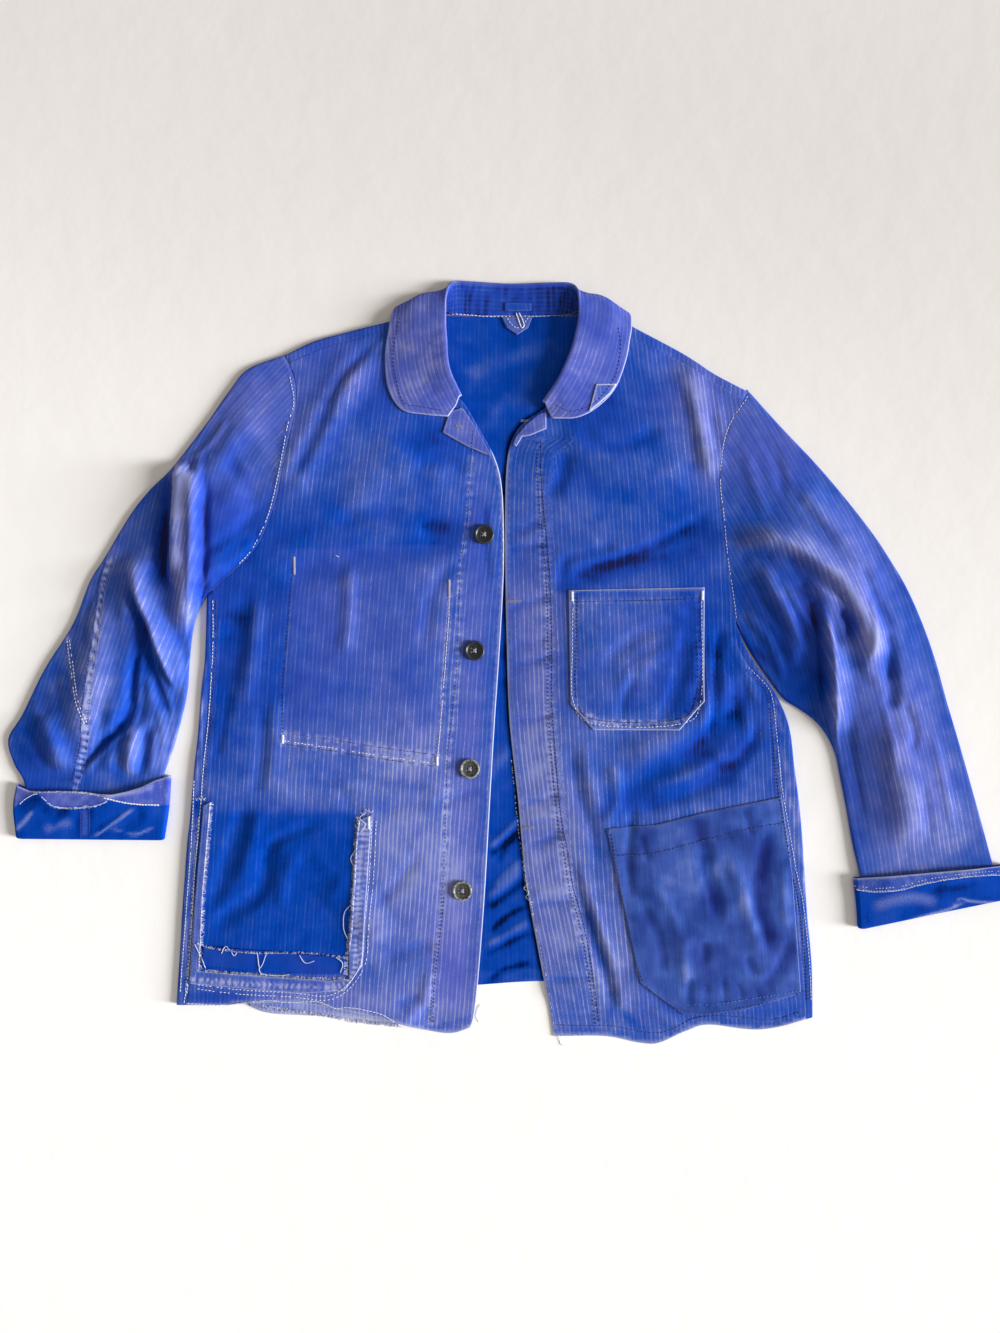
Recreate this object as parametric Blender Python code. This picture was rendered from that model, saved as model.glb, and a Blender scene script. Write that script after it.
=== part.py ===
"""Faded cotton work jacket, unbuttoned and laid flat on its back.

Blender 4.5 script: blender --background --python part.py
Metres, +Z up. The neck points to +Y and the hem to -Y. The origin is on the underside of the
back, at the middle of the chest, on the surface that the jacket lies on.

Left and right below are the viewer's, as the jacket lies: its right-hand front is on the left.
Plans are lists of points in millimetres. Every panel is a wall of cloth: a middle surface, with
half the cloth's thickness on each side of it.
"""

import math
from collections import namedtuple

import bmesh
import bpy
import numpy as np
from mathutils import Vector
from mathutils.geometry import delaunay_2d_cdt

MM = 0.001

# Cloth, seams and folds, in millimetres
CLOTH = 1.2
POCKET_CLOTH = 1.1
COLLAR_CLOTH = 1.8
SEAM_GAP = 0.6
LAYER_GAP = 0.5
FOLD_RADIUS = 2.0
BACK_MID = CLOTH / 2
EDGE_TOP = BACK_MID + 2 * FOLD_RADIUS
REST = CLOTH * 1.5 + LAYER_GAP + 0.1
FRONT_PUFF = 1.2
LIFT_OVER_COLLAR = 2.3
SEAM_SET_IN = 9.0

# Spacing of the points
PANEL_GRID = 36.0
BACK_GRID = 46.0
EDGE_STEP = 24.0
CREASE_STEP = 26.0

# Body plan. Sides and shoulders are where the cloth folds over; their seams lie on the upper layer
SHOULDER_L = [(-232, 323), (-200, 338), (-163, 348), (-118, 359), (-75, 376)]
SHOULDER_R = [(255, 285), (219, 304), (185, 326), (142, 348), (96, 374)]
SHOULDER_SEAM_L = [(-196, 329), (-161, 339), (-116, 350), (-74, 365)]
SHOULDER_SEAM_R = [(215, 297), (181, 318), (138, 339), (92, 364)]
ARMHOLE_L = [(-232, 323), (-221, 300), (-220, 267), (-229, 227), (-239, 176), (-249, 147), (-262, 119),
             (-282, 99), (-300, 83), (-313, 71)]
ARMHOLE_R = [(255, 285), (235, 248), (225, 206), (226, 158), (231, 118), (238, 77), (243, 38)]
SIDE_L = [(-313, 71), (-315, 7), (-319, -28), (-323, -79), (-327, -117), (-331, -166), (-334, -192),
          (-339, -262), (-341, -297), (-345, -359)]
SIDE_R = [(243, 38), (251, 18), (263, -2), (277, -22), (289, -42), (299, -70), (304, -110), (310, -158),
          (314, -211), (317, -260), (322, -316), (323, -372)]
SIDE_SEAM_L = [(-306, 40), (-307, 7), (-313, -48), (-316, -104), (-320, -166), (-323, -202),
               (-328, -245), (-330, -300), (-335, -359)]
SIDE_SEAM_R = [(244, 20), (256, -4), (270, -25), (281, -52), (289, -103), (292, -139),
               (297, -175), (304, -230), (309, -270), (314, -330), (316, -374)]
FRONT_EDGE_L = [(-62, 290), (-44, 274), (-29, 249), (-12, 218), (-4, 188), (-1.5, 140), (-2, 87), (-6, 14),
                (-11, -60), (-16, -144), (-22, -249), (-29, -338), (-33, -372), (-36, -384)]
FRONT_EDGE_R = [(56, 290), (44, 270), (21, 254), (8, 236), (2.5, 212), (0.5, 170), (0.5, 108), (2, 24),
                (5, -60), (14, -144), (22, -228), (35, -301), (45, -354), (51, -393)]
FRONT_NECK_L = [(-62, 290), (-70, 312), (-73, 340), (-74, 365)]
FRONT_NECK_R = [(56, 290), (66, 310), (75, 338), (83, 354), (92, 364)]
BACK_NECK = [(-72, 374), (-66, 367), (-54, 364.5), (5, 364.5), (68, 364.5), (82, 366), (93, 373)]
FRONT_HEM_L = [(-36, -384), (-58, -390), (-89, -385), (-131, -373), (-173, -364), (-215, -357), (-257, -356),
               (-299, -359), (-335, -359)]
FRONT_HEM_R = [(51, -393), (105, -393), (142, -400), (163, -400), (194, -386), (217, -381), (268, -386),
               (316, -374)]
BACK_HEM = [(-345, -359), (-215, -350), (-110, -345), (-28, -339), (47, -335), (152, -343), (247, -357),
            (323, -372)]

# Sleeve plan: pairs of points on the outer and the inner edge, from the armhole to inside the cuff
SLEEVE_L = [
    ((-232.5, 323.5), (-314.4, 72)), ((-270, 309), (-319.5, 62)), ((-289, 287), (-323.5, 53)),
    ((-315, 250), (-326.5, 44)), ((-350, 205), (-328.5, 35)), ((-373, 182), (-330, 26)),
    ((-394, 155), (-331, 17)), ((-421, 110), (-332, 6)), ((-436, 86), (-333, -8)),
    ((-454, 41), (-334, -24)), ((-484, -7), (-337, -43)), ((-507, -54), (-343, -67)),
    ((-522, -80), (-350, -91)), ((-516, -105), (-356, -108)), ((-505, -124), (-361, -126)),
    ((-504, -148), (-364, -150)), ((-506, -173), (-367, -174)),
]
SLEEVE_R = [
    ((256.3, 285.2), (245, 39)), ((290, 248), (253.5, 20.5)), ((326, 210), (265.5, 0.5)),
    ((356, 175), (279.5, -19.5)), ((385, 138), (293, -37)), ((405, 108), (310, -48)),
    ((423, 77), (326, -60)), ((440, 38), (339, -76)), ((453, 0), (348, -96)),
    ((464, -40), (353, -120)), ((478, -87), (359, -150)), ((495, -148), (366, -190)),
    ((511, -208), (373, -222)), ((517, -224), (377, -246)), ((519, -236), (379, -267)),
]
CUFF_L = [((-513, -182), (-358, -184)), ((-516, -150), (-353, -150)), ((-512, -125), (-351, -121))]
CUFF_R = [((527, -246), (371, -277)), ((530, -228), (369, -250)), ((527, -212), (366, -226))]
FAN_RINGS = 6
FAN_BULGE = (0, 5, 10, 11, 8, 4)
FAN_SET_IN = (0, 4, 4.5, 4, 3.5, 3)
SLEEVE_PUFF = 8.0
CUFF_PUFF = 3.5
INNER_FOLD_RADIUS = 1.5
CUFF_STEP = 2.0

Fold = namedtuple("Fold", "path height left right")
# Ridges (+) and troughs (-) of the upper layer: a path, a height, and the width on each side of it
FOLDS = [
    Fold([(-138, 330), (-168, 288), (-205, 225), (-232, 170)], 4.0, 26, 34),
    Fold([(-262, 80), (-292, 25), (-308, -40), (-318, -100)], -2.2, 20, 16),
    Fold([(-246, 92), (-172, 108), (-88, 122), (-30, 160)], -2.6, 24, 30),
    Fold([(-270, -146), (-280, -190), (-300, -236), (-312, -262)], -2.4, 13, 15),
    Fold([(-240, -178), (-256, -236), (-284, -262), (-312, -284)], -2.4, 14, 15),
    Fold([(-190, -230), (-150, -262), (-128, -300)], 3.0, 30, 26),
    Fold([(60, 88), (100, 102), (165, 114), (222, 150)], -2.4, 22, 30),
    Fold([(98, -150), (150, -128), (205, -86), (250, -40), (276, -36)], -2.4, 26, 22),
    Fold([(120, -96), (176, -78), (222, -38), (238, 8)], 3.6, 26, 26),
    Fold([(192, 322), (206, 250), (222, 190)], 3.4, 20, 24),
    Fold([(72, -200), (90, -280), (112, -330), (122, -372)], -2.2, 12, 11),
    Fold([(60, 250), (100, 216), (150, 196), (200, 206)], 2.6, 34, 34),
    Fold([(-100, 236), (-140, 190), (-160, 150)], 2.4, 34, 34),
    Fold([(-352, 214), (-336, 203), (-328, 190), (-326, 150), (-327, 108), (-330, 60), (-333, 20)],
         13.0, 8, 26),
    Fold([(-352, 200), (-357, 150), (-363, 98), (-374, 74)], -6.0, 14, 14),
    Fold([(-394, 120), (-386, 89), (-372, 46), (-350, -8), (-341, -36)], 9.0, 22, 10),
    Fold([(-376, 66), (-380, 11), (-386, -28), (-388, -53), (-411, -78), (-440, -106)], -6.0, 18, 14),
    Fold([(-388, -62), (-387, -92), (-394, -122)], 5.0, 12, 14),
    Fold([(-424, 70), (-428, 20), (-436, -40), (-446, -92)], 5.5, 26, 30),
    Fold([(-262, 240), (-290, 200), (-316, 165)], -3.0, 20, 20),
    Fold([(-480, -50), (-470, -84), (-462, -118)], 4.0, 18, 22),
    Fold([(238, 130), (297, 122), (338, 94), (362, 64), (378, 24), (380, -20)], 10.0, 26, 14),
    Fold([(309, 84), (327, 62), (336, 14), (342, -40), (348, -84)], 10.0, 26, 8),
    Fold([(318, 72), (338, 46), (350, 14)], -5.0, 10, 10),
    Fold([(264, 104), (290, 58), (302, 24), (306, -6)], 5.5, 12, 14),
    Fold([(394, 16), (404, -24), (402, -52)], -4.0, 12, 12),
    Fold([(402, -60), (416, -130), (424, -200)], 4.5, 26, 26),
    Fold([(300, 190), (352, 128), (392, 60)], 4.0, 30, 24),
]

# What is sewn on the fronts and inside the neck
CHEST_POCKET = [(67, 76), (209, 79), (208, -40), (182, -70), (93, -70), (69, -43)]
LOWER_POCKET = [(107, -174), (158, -170), (205, -158), (290, -141), (301, -222), (310, -346), (247, -364),
                (188, -370), (142, -335)]
REMNANT = [(-140, -160), (-150, -317), (-168, -343), (-215, -346), (-331, -336), (-326, -262), (-316, -150),
           (-309, -146), (-317, -240), (-321, -323), (-257, -328), (-184, -333), (-163, -331), (-163, -291),
           (-158, -217), (-154, -165)]
POCKET_BASE = [(-316, -297), (-252, -302), (-168, -309), (-168, -326), (-257, -322), (-318, -317)]
CORNER_L = [(-58, 264), (-65, 242), (-40, 228), (-14, 217), (-29, 245), (-45, 268)]
CORNER_R = [(43, 264), (43, 246), (26, 239), (18, 238), (12, 228), (8, 229), (11, 237), (22, 250), (35, 261)]
HANGER_TAB = [(-3, 363), (28, 363), (24, 352), (13, 345), (2, 352)]
POCKET_PUFF = 1.2
TAB_CLOTH = 1.4
HEM_TURNING = [(-270, -361), (-247, -369), (-194, -372), (-152, -375.5), (-112, -382)]

# Buttons down the left front
BUTTON_CENTRES = [(-22, 135), (-32, 13), (-37, -111), (-45, -239)]
BUTTON_RADIUS = 10.5
BUTTON_HEIGHT = 3.2
BUTTON_RIM = 2.6
BUTTON_DISH = 1.3
BUTTON_HOLE_RADIUS = 1.2
BUTTON_HOLE_OFFSET = 1.9
BUTTON_SIDES = 14

# Collar sections from the left front end round the neck to the right one. Each has its seam and its
# roll as (x, y, z), the roll's turn in degrees (90: the fall lies over the stand, -90: under it), and
# the middle and the edge of the fall as (x, y, z); a z under 0 is a height above the front below it
Section = namedtuple("Section", "seam roll turn middle edge")
COLLAR = [
    Section((-48, 280, 5.5), (-46, 280, 9.0), 90, (-52, 270, -3.0), (-60, 259, -1.6)),
    Section((-57, 287, 6.0), (-51, 290, 12.0), 90, (-66, 274, -4.5), (-84, 261, -1.0)),
    Section((-64, 300, 6.5), (-57, 303, 14.5), 90, (-80, 286, -5.5), (-108, 266, -0.6)),
    Section((-68, 314, 7.0), (-60, 317, 16.0), 90, (-90, 303, -6.0), (-122, 288, -0.6)),
    Section((-71, 334, 7.5), (-61, 335, 17.0), 90, (-94, 331, -6.0), (-125, 322, -0.6)),
    Section((-72, 350, 8.5), (-62, 351, 18.0), 84, (-95, 354, 16.5), (-121, 348, 11.0)),
    Section((-71.5, 362, 9.0), (-62, 366, 17.5), 66, (-96, 373, 13.5), (-119, 363, 9.6)),
    Section((-70, 372, 8.0), (-62, 380, 15.5), 30, (-88, 385, 9.0), (-113, 374, 5.0)),
    Section((-64, 371, 6.0), (-60, 392, 11.0), -20, (-76, 388, 3.4), (-98, 371, 0.9)),
    Section((-53, 366.5, 4.4), (-54, 400, 6.0), -70, (-60, 383, 1.2), (-76, 354, 0.9)),
    Section((-35, 365.3, 3.9), (-33, 400, 3.6), -90, (-34, 378, 1.0), (-40, 347, 0.9)),
    Section((5, 365.3, 3.9), (5, 398, 2.9), -90, (5, 374, 1.0), (5, 345, 0.9)),
    Section((46, 365.3, 3.9), (45, 399, 3.6), -90, (46, 378, 1.0), (50, 347, 0.9)),
    Section((66, 366.5, 4.4), (68, 398, 6.0), -70, (74, 382, 1.2), (88, 353, 0.9)),
    Section((78, 370, 6.0), (76, 390, 11.0), -20, (92, 386, 3.4), (112, 370, 0.9)),
    Section((86, 369, 8.0), (77, 380, 15.5), 30, (105, 382, 9.0), (130, 367, 5.0)),
    Section((83, 358, 9.0), (77, 363, 17.5), 66, (110, 366, 13.5), (132, 352, 9.6)),
    Section((77, 345, 8.5), (75, 349, 18.0), 84, (106, 348, 16.5), (130, 338, 11.0)),
    Section((72, 328, 7.5), (70, 329, 17.0), 90, (99, 325, -6.0), (126, 316, -0.6)),
    Section((66, 311, 7.0), (63, 311, 16.0), 90, (88, 298, -6.0), (115, 288, -0.6)),
    Section((59, 299, 6.5), (56, 297, 14.5), 90, (76, 279, -5.5), (97, 269, -0.6)),
    Section((52, 287, 6.0), (48, 285, 12.0), 90, (63, 268, -4.5), (76, 258, -1.0)),
    Section((44, 277, 5.5), (40, 274, 9.0), 90, (45, 266, -3.0), (50, 257, -1.6)),
]
ROLL_HALF = 1.35
ROLL_SET_IN = 2.2
COLLAR_BETWEEN = 1

# Colours, roughness and metallic value of each material
MATERIALS = {
    "work_cloth": ((0.060, 0.105, 0.450, 1.0), 0.85, 0.0),
    "inner_cloth": ((0.010, 0.060, 0.330, 1.0), 0.85, 0.0),
    "pocket_twill": ((0.050, 0.085, 0.350, 1.0), 0.85, 0.0),
    "button_plastic": ((0.020, 0.022, 0.024, 1.0), 0.35, 0.0),
}


def clear_scene():
    for obj in list(bpy.data.objects):
        bpy.data.objects.remove(obj)


def material(name):
    if name in bpy.data.materials:
        return bpy.data.materials[name]
    colour, roughness, metallic = MATERIALS[name]
    made = bpy.data.materials.new(name)
    made.use_nodes = True
    shader = made.node_tree.nodes["Principled BSDF"]
    shader.inputs["Base Color"].default_value = colour
    shader.inputs["Roughness"].default_value = roughness
    shader.inputs["Metallic"].default_value = metallic
    return made


def spline(points, count_between):
    """A smooth curve through the points, with count_between new points in each stretch."""
    p = np.asarray(points, float)
    before = np.concatenate([[2 * p[0] - p[1]], p[:-1]])
    after = np.concatenate([p[1:], [2 * p[-1] - p[-2]]])
    tangent = (after - before) / 2
    made = []
    for i in range(len(p) - 1):
        for k in range(count_between + 1):
            t = k / (count_between + 1)
            h00, h10 = 2 * t**3 - 3 * t**2 + 1, t**3 - 2 * t**2 + t
            h01, h11 = 3 * t**2 - 2 * t**3, t**3 - t**2
            made.append(h00 * p[i] + h10 * tangent[i] + h01 * p[i + 1] + h11 * tangent[i + 1])
    made.append(p[-1])
    return np.array(made)


def lengths(line):
    return np.concatenate([[0], np.cumsum(np.linalg.norm(np.diff(line, axis=0), axis=1))])


def points_at(line, distances):
    along = lengths(line)
    return np.stack([np.interp(distances, along, line[:, k]) for k in range(line.shape[1])], axis=1)


def even(line, step):
    """The line again, with its ends kept and points about step apart."""
    line = np.asarray(line, float)
    whole = lengths(line)[-1]
    return points_at(line, np.linspace(0, whole, max(1, round(whole / step)) + 1))


def curve(points, step=EDGE_STEP):
    return even(spline(points, 7), step)


def closed(points):
    """A closed line's points, with new ones on its long sides."""
    points = [np.asarray(p, float) for p in points]
    made = []
    for a, b in zip(points, points[1:] + points[:1]):
        count = max(1, round(np.linalg.norm(b - a) / EDGE_STEP))
        made += [a + (b - a) * k / count for k in range(count)]
    return np.array(made)


def armhole_points(points):
    """Points down an armhole, the second and the last but one on the shoulder's and the side's seams."""
    line = spline(points, 7)
    whole = lengths(line)[-1]
    count = round((whole - 2 * SEAM_SET_IN) / EDGE_STEP) + 1
    middle = np.linspace(SEAM_SET_IN, whole - SEAM_SET_IN, count)
    return points_at(line, np.concatenate([[0], middle, [whole]]))


def nearest(points, line):
    """For each point: distance to a line, the foot on it, the line's way there and the share along it."""
    points, line = np.asarray(points, float), np.asarray(line, float)
    start, step = line[:-1], np.diff(line, axis=0)
    length = np.maximum(np.linalg.norm(step, axis=1), 1e-9)
    rel = points[:, None] - start[None]
    t = np.clip((rel * step).sum(2) / (length**2), 0, 1)
    feet = start[None] + t[..., None] * step[None]
    gap = np.linalg.norm(points[:, None] - feet, axis=2)
    i = gap.argmin(axis=1)
    rows = np.arange(len(points))
    along = lengths(line)
    share = (along[i] + t[rows, i] * length[i]) / along[-1]
    return gap[rows, i], feet[rows, i], step[i] / length[i][:, None], share


def smoothstep(x):
    x = np.clip(x, 0, 1)
    return x * x * (3 - 2 * x)


def fold_height(points):
    """The sum of the folds' heights at plan points."""
    points = np.asarray(points, float)
    total = np.zeros(len(points))
    for fold in FOLDS:
        away, foot, along, share = nearest(points, spline(fold.path, 4))
        offset = points - foot
        left = along[:, 0] * offset[:, 1] - along[:, 1] * offset[:, 0] > 0
        width = np.where(left, fold.left, fold.right)
        bell = 0.5 + 0.5 * np.cos(math.pi * np.minimum(away / width, 1))
        total += fold.height * bell * smoothstep(share / 0.18) * smoothstep((1 - share) / 0.18)
    return total


def neck_lift(points):
    """How far the body is raised where the collar's fall lies under the back of the neck."""
    points = np.asarray(points, float)
    up = smoothstep((points[:, 1] - 296) / 36)
    across = smoothstep((176 - np.abs(points[:, 0] - 6)) / 36)
    return LIFT_OVER_COLLAR * up * across


def past_back_hem(points):
    """How far plan points are below the back's hem."""
    hem = spline(BACK_HEM, 7)
    return np.interp(points[:, 0], hem[:, 0], hem[:, 1]) - points[:, 1]


def front_mid(points, border, front_edge):
    """Height of a front's middle surface, low along its front edge and where it is longer than the back."""
    points = np.asarray(points, float)
    from_border = nearest(points, border)[0]
    from_edge = nearest(points, front_edge)[0]
    puff = FRONT_PUFF * smoothstep(from_border / 70) * smoothstep(from_edge / 60)
    body = REST + (EDGE_TOP - REST) * smoothstep(from_edge / 90) + puff
    height = np.maximum(body + fold_height(points), REST) + neck_lift(points)
    drop = smoothstep((past_back_hem(points) - 5) / 24) * smoothstep((from_border - 4) / 40)
    drop *= smoothstep((points[:, 0] - HEM_TURNING[-1][0]) / 40)
    return height * (1 - drop) + (BACK_MID + 0.1) * drop


def inside(points, polygon):
    """Whether each plan point is inside a polygon."""
    x, y = np.asarray(points, float).T
    polygon = np.asarray(polygon, float)
    found = np.zeros(len(x), bool)
    for (x0, y0), (x1, y1) in zip(polygon, np.roll(polygon, -1, axis=0)):
        if y0 == y1:
            continue
        crosses = (y0 > y) != (y1 > y)
        found ^= crosses & (x < x0 + (y - y0) * (x1 - x0) / (y1 - y0))
    return found


def clear_of(points, kept, distance):
    gap = np.min(np.linalg.norm(points[:, None] - kept[None], axis=2), axis=1)
    return points[gap > distance]


def grid_points(polygon, spacing):
    """A staggered grid inside a polygon."""
    low, high = np.min(polygon, axis=0), np.max(polygon, axis=0)
    row_gap = spacing * math.sqrt(3) / 2
    rows = []
    for k, y in enumerate(np.arange(low[1] + row_gap / 2, high[1], row_gap)):
        shift = spacing / 2 if k % 2 else 0
        rows += [(x, y) for x in np.arange(low[0] + shift, high[0], spacing)]
    rows = np.array(rows)
    return rows[inside(rows, polygon)]


def crease_points(polygon):
    """Points on each fold's line and near its two feet."""
    found = []
    for fold in FOLDS:
        line = even(spline(fold.path, 4), CREASE_STEP)
        along = np.gradient(line, axis=0)
        along /= np.linalg.norm(along, axis=1)[:, None]
        side = np.stack([-along[:, 1], along[:, 0]], axis=1)
        found += [line, line + side * fold.left * 0.9, line - side * fold.right * 0.9]
    found = np.vstack(found)
    return found[inside(found, polygon)]


def triangulate(outline, lines, spacing, rows=(), creases=False):
    """Plan points and triangles inside an outline, with closed lines as edges and rows of points kept."""
    kept = [np.asarray(outline, float)]
    edges = [(i, (i + 1) % len(outline)) for i in range(len(outline))]
    count = len(outline)
    for line in lines:
        kept.append(line)
        edges += [(count + i, count + (i + 1) % len(line)) for i in range(len(line))]
        count += len(line)
    kept = np.vstack(kept)
    for row in rows:
        row = row[inside(row, outline)]
        kept = np.vstack([kept, clear_of(row, kept, 5)])
    if creases:
        for p in crease_points(outline):
            kept = np.vstack([kept, clear_of(p[None], kept, spacing * 0.36)])
    kept = np.vstack([kept, clear_of(grid_points(outline, spacing), kept, spacing * 0.6)])
    verts, _, faces, *_ = delaunay_2d_cdt([Vector(p) for p in kept], edges, [], 1, 1e-5)
    return np.array([tuple(v) for v in verts]), [tuple(f) for f in faces]


def boundary(faces):
    """The directed edges that only one face uses."""
    seen = {(a, b) for face in faces for a, b in zip(face, face[1:] + face[:1])}
    return [(a, b) for a, b in seen if (b, a) not in seen]


def make_object(name, verts, faces, slot):
    """An object from points in millimetres, with its faces turned outwards."""
    mesh = bpy.data.meshes.new(name)
    mesh.from_pydata([Vector(v) * MM for v in verts], [], faces)
    work = bmesh.new()
    work.from_mesh(mesh)
    bmesh.ops.recalc_face_normals(work, faces=work.faces)
    work.to_mesh(mesh)
    work.free()
    mesh.materials.append(material(slot))
    obj = bpy.data.objects.new(name, mesh)
    bpy.context.scene.collection.objects.link(obj)
    return obj


def wall(name, upper, lower, faces, slot):
    """A closed wall between two surfaces that share their faces."""
    count = len(upper)
    both = [tuple(f) for f in faces] + [tuple(i + count for i in reversed(f)) for f in faces]
    both += [(b, a, a + count, b + count) for a, b in boundary(faces)]
    return make_object(name, np.vstack([upper, lower]), both, slot)


def flat_wall(name, plan, faces, mid, thickness, slot):
    """A wall whose middle surface is at height mid over its plan."""
    upper = np.column_stack([plan, mid + thickness / 2])
    lower = np.column_stack([plan, mid - thickness / 2])
    return wall(name, upper, lower, faces, slot)


def shell(name, points, faces, thickness, slot):
    """A wall round a middle surface that bends, moved out square to it and evenly thick at its bends."""
    points = np.asarray(points, float)
    work = bmesh.new()
    verts = [work.verts.new(p) for p in points]
    for face in faces:
        work.faces.new([verts[i] for i in face])
    bmesh.ops.recalc_face_normals(work, faces=work.faces)
    work.normal_update()
    work.verts.index_update()
    moved = np.zeros_like(points)
    for vert in work.verts:
        meeting = [face.normal for face in vert.link_faces]
        lean = sum(vert.normal.dot(n) for n in meeting) / len(meeting)
        moved[vert.index] = vert.normal * (thickness / 2 / max(lean, 0.72))
    turned = [tuple(v.index for v in face.verts) for face in work.faces]
    work.free()
    sides = [points + moved, points - moved]
    for side in sides:
        side[:, 2] = np.maximum(side[:, 2], 0)
    return wall(name, *sides, turned, slot)


def sewn_on(name, panel, outline, thickness, slot, puff=0.0):
    """A piece of cloth that lies on a panel: the panel's own points inside an outline, moved out."""
    plan, faces, top = panel
    centres = np.array([plan[list(f)].mean(axis=0) for f in faces])
    kept = [f for f, is_in in zip(faces, inside(centres, outline)) if is_in]
    used = sorted({i for f in kept for i in f})
    number = {old: new for new, old in enumerate(used)}
    kept = [tuple(number[i] for i in f) for f in kept]
    from_edge = nearest(plan[used], np.vstack([outline, outline[:1]]))[0]
    mid = top[used] + LAYER_GAP + thickness / 2 + puff * smoothstep(from_edge / 36)
    return flat_wall(name, plan[used], kept, mid, thickness, slot)


def height_on(panel, point):
    """Height of a panel's upper surface at a plan point, or at its nearest corner off the panel."""
    plan, faces, top = panel
    for face in faces:
        a, b, c = (plan[i] for i in face)
        whole = (b[0] - a[0]) * (c[1] - a[1]) - (b[1] - a[1]) * (c[0] - a[0])
        u = ((b[0] - point[0]) * (c[1] - point[1]) - (b[1] - point[1]) * (c[0] - point[0])) / whole
        v = ((c[0] - point[0]) * (a[1] - point[1]) - (c[1] - point[1]) * (a[0] - point[0])) / whole
        if u >= -1e-9 and v >= -1e-9 and u + v <= 1 + 1e-9:
            return u * top[face[0]] + v * top[face[1]] + (1 - u - v) * top[face[2]]
    return top[np.argmin(np.linalg.norm(plan - point, axis=1))]


def grid_faces(grid, ring=False):
    """Triangles of a grid of points, cut along short diagonals; in a ring the last column meets the first."""
    rows, columns = grid.shape[:2]
    points = grid.reshape(rows * columns, -1)
    faces = []
    for r in range(rows - 1):
        for c in range(columns if ring else columns - 1):
            a, b = r * columns + c, r * columns + (c + 1) % columns
            d, e = a + columns, b + columns
            if np.linalg.norm(points[a] - points[e]) < np.linalg.norm(points[b] - points[d]):
                faces += [(a, b, e), (a, e, d)]
            else:
                faces += [(a, b, d), (b, e, d)]
    return faces


def normals_2d(line):
    """Directions square to a plan line, to the left of its way."""
    along = np.gradient(np.asarray(line, float), axis=0)
    along /= np.linalg.norm(along, axis=1)[:, None]
    return np.stack([-along[:, 1], along[:, 0]], axis=1)


class Front:
    """A front: its border on the sleeve, side and shoulder, its front edge and its triangles."""

    def __init__(self, name, side_seam, hem, front_edge, neck, shoulder_seam, armhole, patches):
        arm = armhole_points(armhole)
        side = curve([arm[-2]] + side_seam)
        shoulder = curve([arm[1]] + shoulder_seam)
        self.border = np.vstack([side[::-1], arm[1:-2][::-1], shoulder[1:]])
        self.front_edge = spline(front_edge, 5)
        around = [side, curve(hem)[::-1], curve(front_edge)[::-1], curve(neck, 18), shoulder[::-1], arm[1:-1]]
        outline = np.vstack([line[:-1] for line in around])
        hem_x = np.arange(-330, 320, 22.0)
        back_hem = np.interp(hem_x, *spline(BACK_HEM, 7).T)
        rows = [np.column_stack([hem_x, back_hem - 5]), np.column_stack([hem_x, back_hem - 29])]
        self.plan, self.faces = triangulate(outline, [closed(p) for p in patches], PANEL_GRID, rows, True)
        mid = self.height(self.plan)
        flat_wall(name, self.plan, self.faces, mid, CLOTH, "work_cloth")
        self.panel = (self.plan, self.faces, mid + CLOTH / 2)

    def height(self, points):
        return front_mid(points, self.border, self.front_edge)


def folded_edge(edge, seam, front, lift):
    """Rows of points that carry the back round a fold and up to a seam on the upper layer."""
    edge, seam = np.asarray(edge, float), np.asarray(seam, float)
    inward = seam - edge
    inward /= np.linalg.norm(inward, axis=1)[:, None]
    flat = edge + inward * FOLD_RADIUS
    seam_mid = front.height(seam)
    top = (seam_mid + EDGE_TOP + lift) / 2
    low = BACK_MID + lift
    return [np.column_stack([flat, low]), np.column_stack([edge, (low + top) / 2]),
            np.column_stack([flat, top]), np.column_stack([seam - inward * SEAM_GAP, seam_mid])]


def make_back(left, right):
    """The back, flat on the surface and folded up over the sides and the shoulders to their seams."""
    arm_l, arm_r = armhole_points(ARMHOLE_L), armhole_points(ARMHOLE_R)
    strips = []
    for edge, seam, corner, front in (
        (SIDE_L, SIDE_SEAM_L, arm_l[-2], left), (SIDE_R, SIDE_SEAM_R, arm_r[-2], right),
        (SHOULDER_L, SHOULDER_SEAM_L, arm_l[1], left), (SHOULDER_R, SHOULDER_SEAM_R, arm_r[1], right),
    ):
        edge_points = curve(edge)
        seam_line = spline([corner] + seam, 7)
        at = np.linspace(0, lengths(seam_line)[-1], len(edge_points))
        strips.append(folded_edge(edge_points, points_at(seam_line, at), front, neck_lift(edge_points)))
    side_l, side_r, shoulder_l, shoulder_r = strips
    outline = np.vstack([
        side_l[0][:, :2], curve(BACK_HEM, 36)[1:-1], side_r[0][::-1, :2], arm_r[1:-1][::-1],
        shoulder_r[0][:, :2], curve(BACK_NECK, 18)[1:-1][::-1], shoulder_l[0][::-1, :2], arm_l[1:-1],
    ])
    x = np.arange(-190, 210, 34.0)
    rows = [np.column_stack([x, np.full(len(x), y)]) for y in (296, 314, 333)]
    plan, faces = triangulate(outline, [closed(HANGER_TAB)], BACK_GRID, rows)
    mid = BACK_MID + neck_lift(plan)
    panel = (plan, faces, mid + CLOTH / 2)
    points = np.column_stack([plan, mid])
    for strip in strips:
        first = [int(np.argmin(np.linalg.norm(points[:len(plan), :2] - p[:2], axis=1))) for p in strip[0]]
        rest = np.vstack(strip[1:])
        numbers = np.concatenate([first, np.arange(len(points), len(points) + len(rest))])
        points = np.vstack([points, rest])
        faces = faces + [tuple(int(numbers[i]) for i in f) for f in grid_faces(np.array(strip))]
    shell("back_panel", points, faces, CLOTH, "work_cloth")
    return panel


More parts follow.
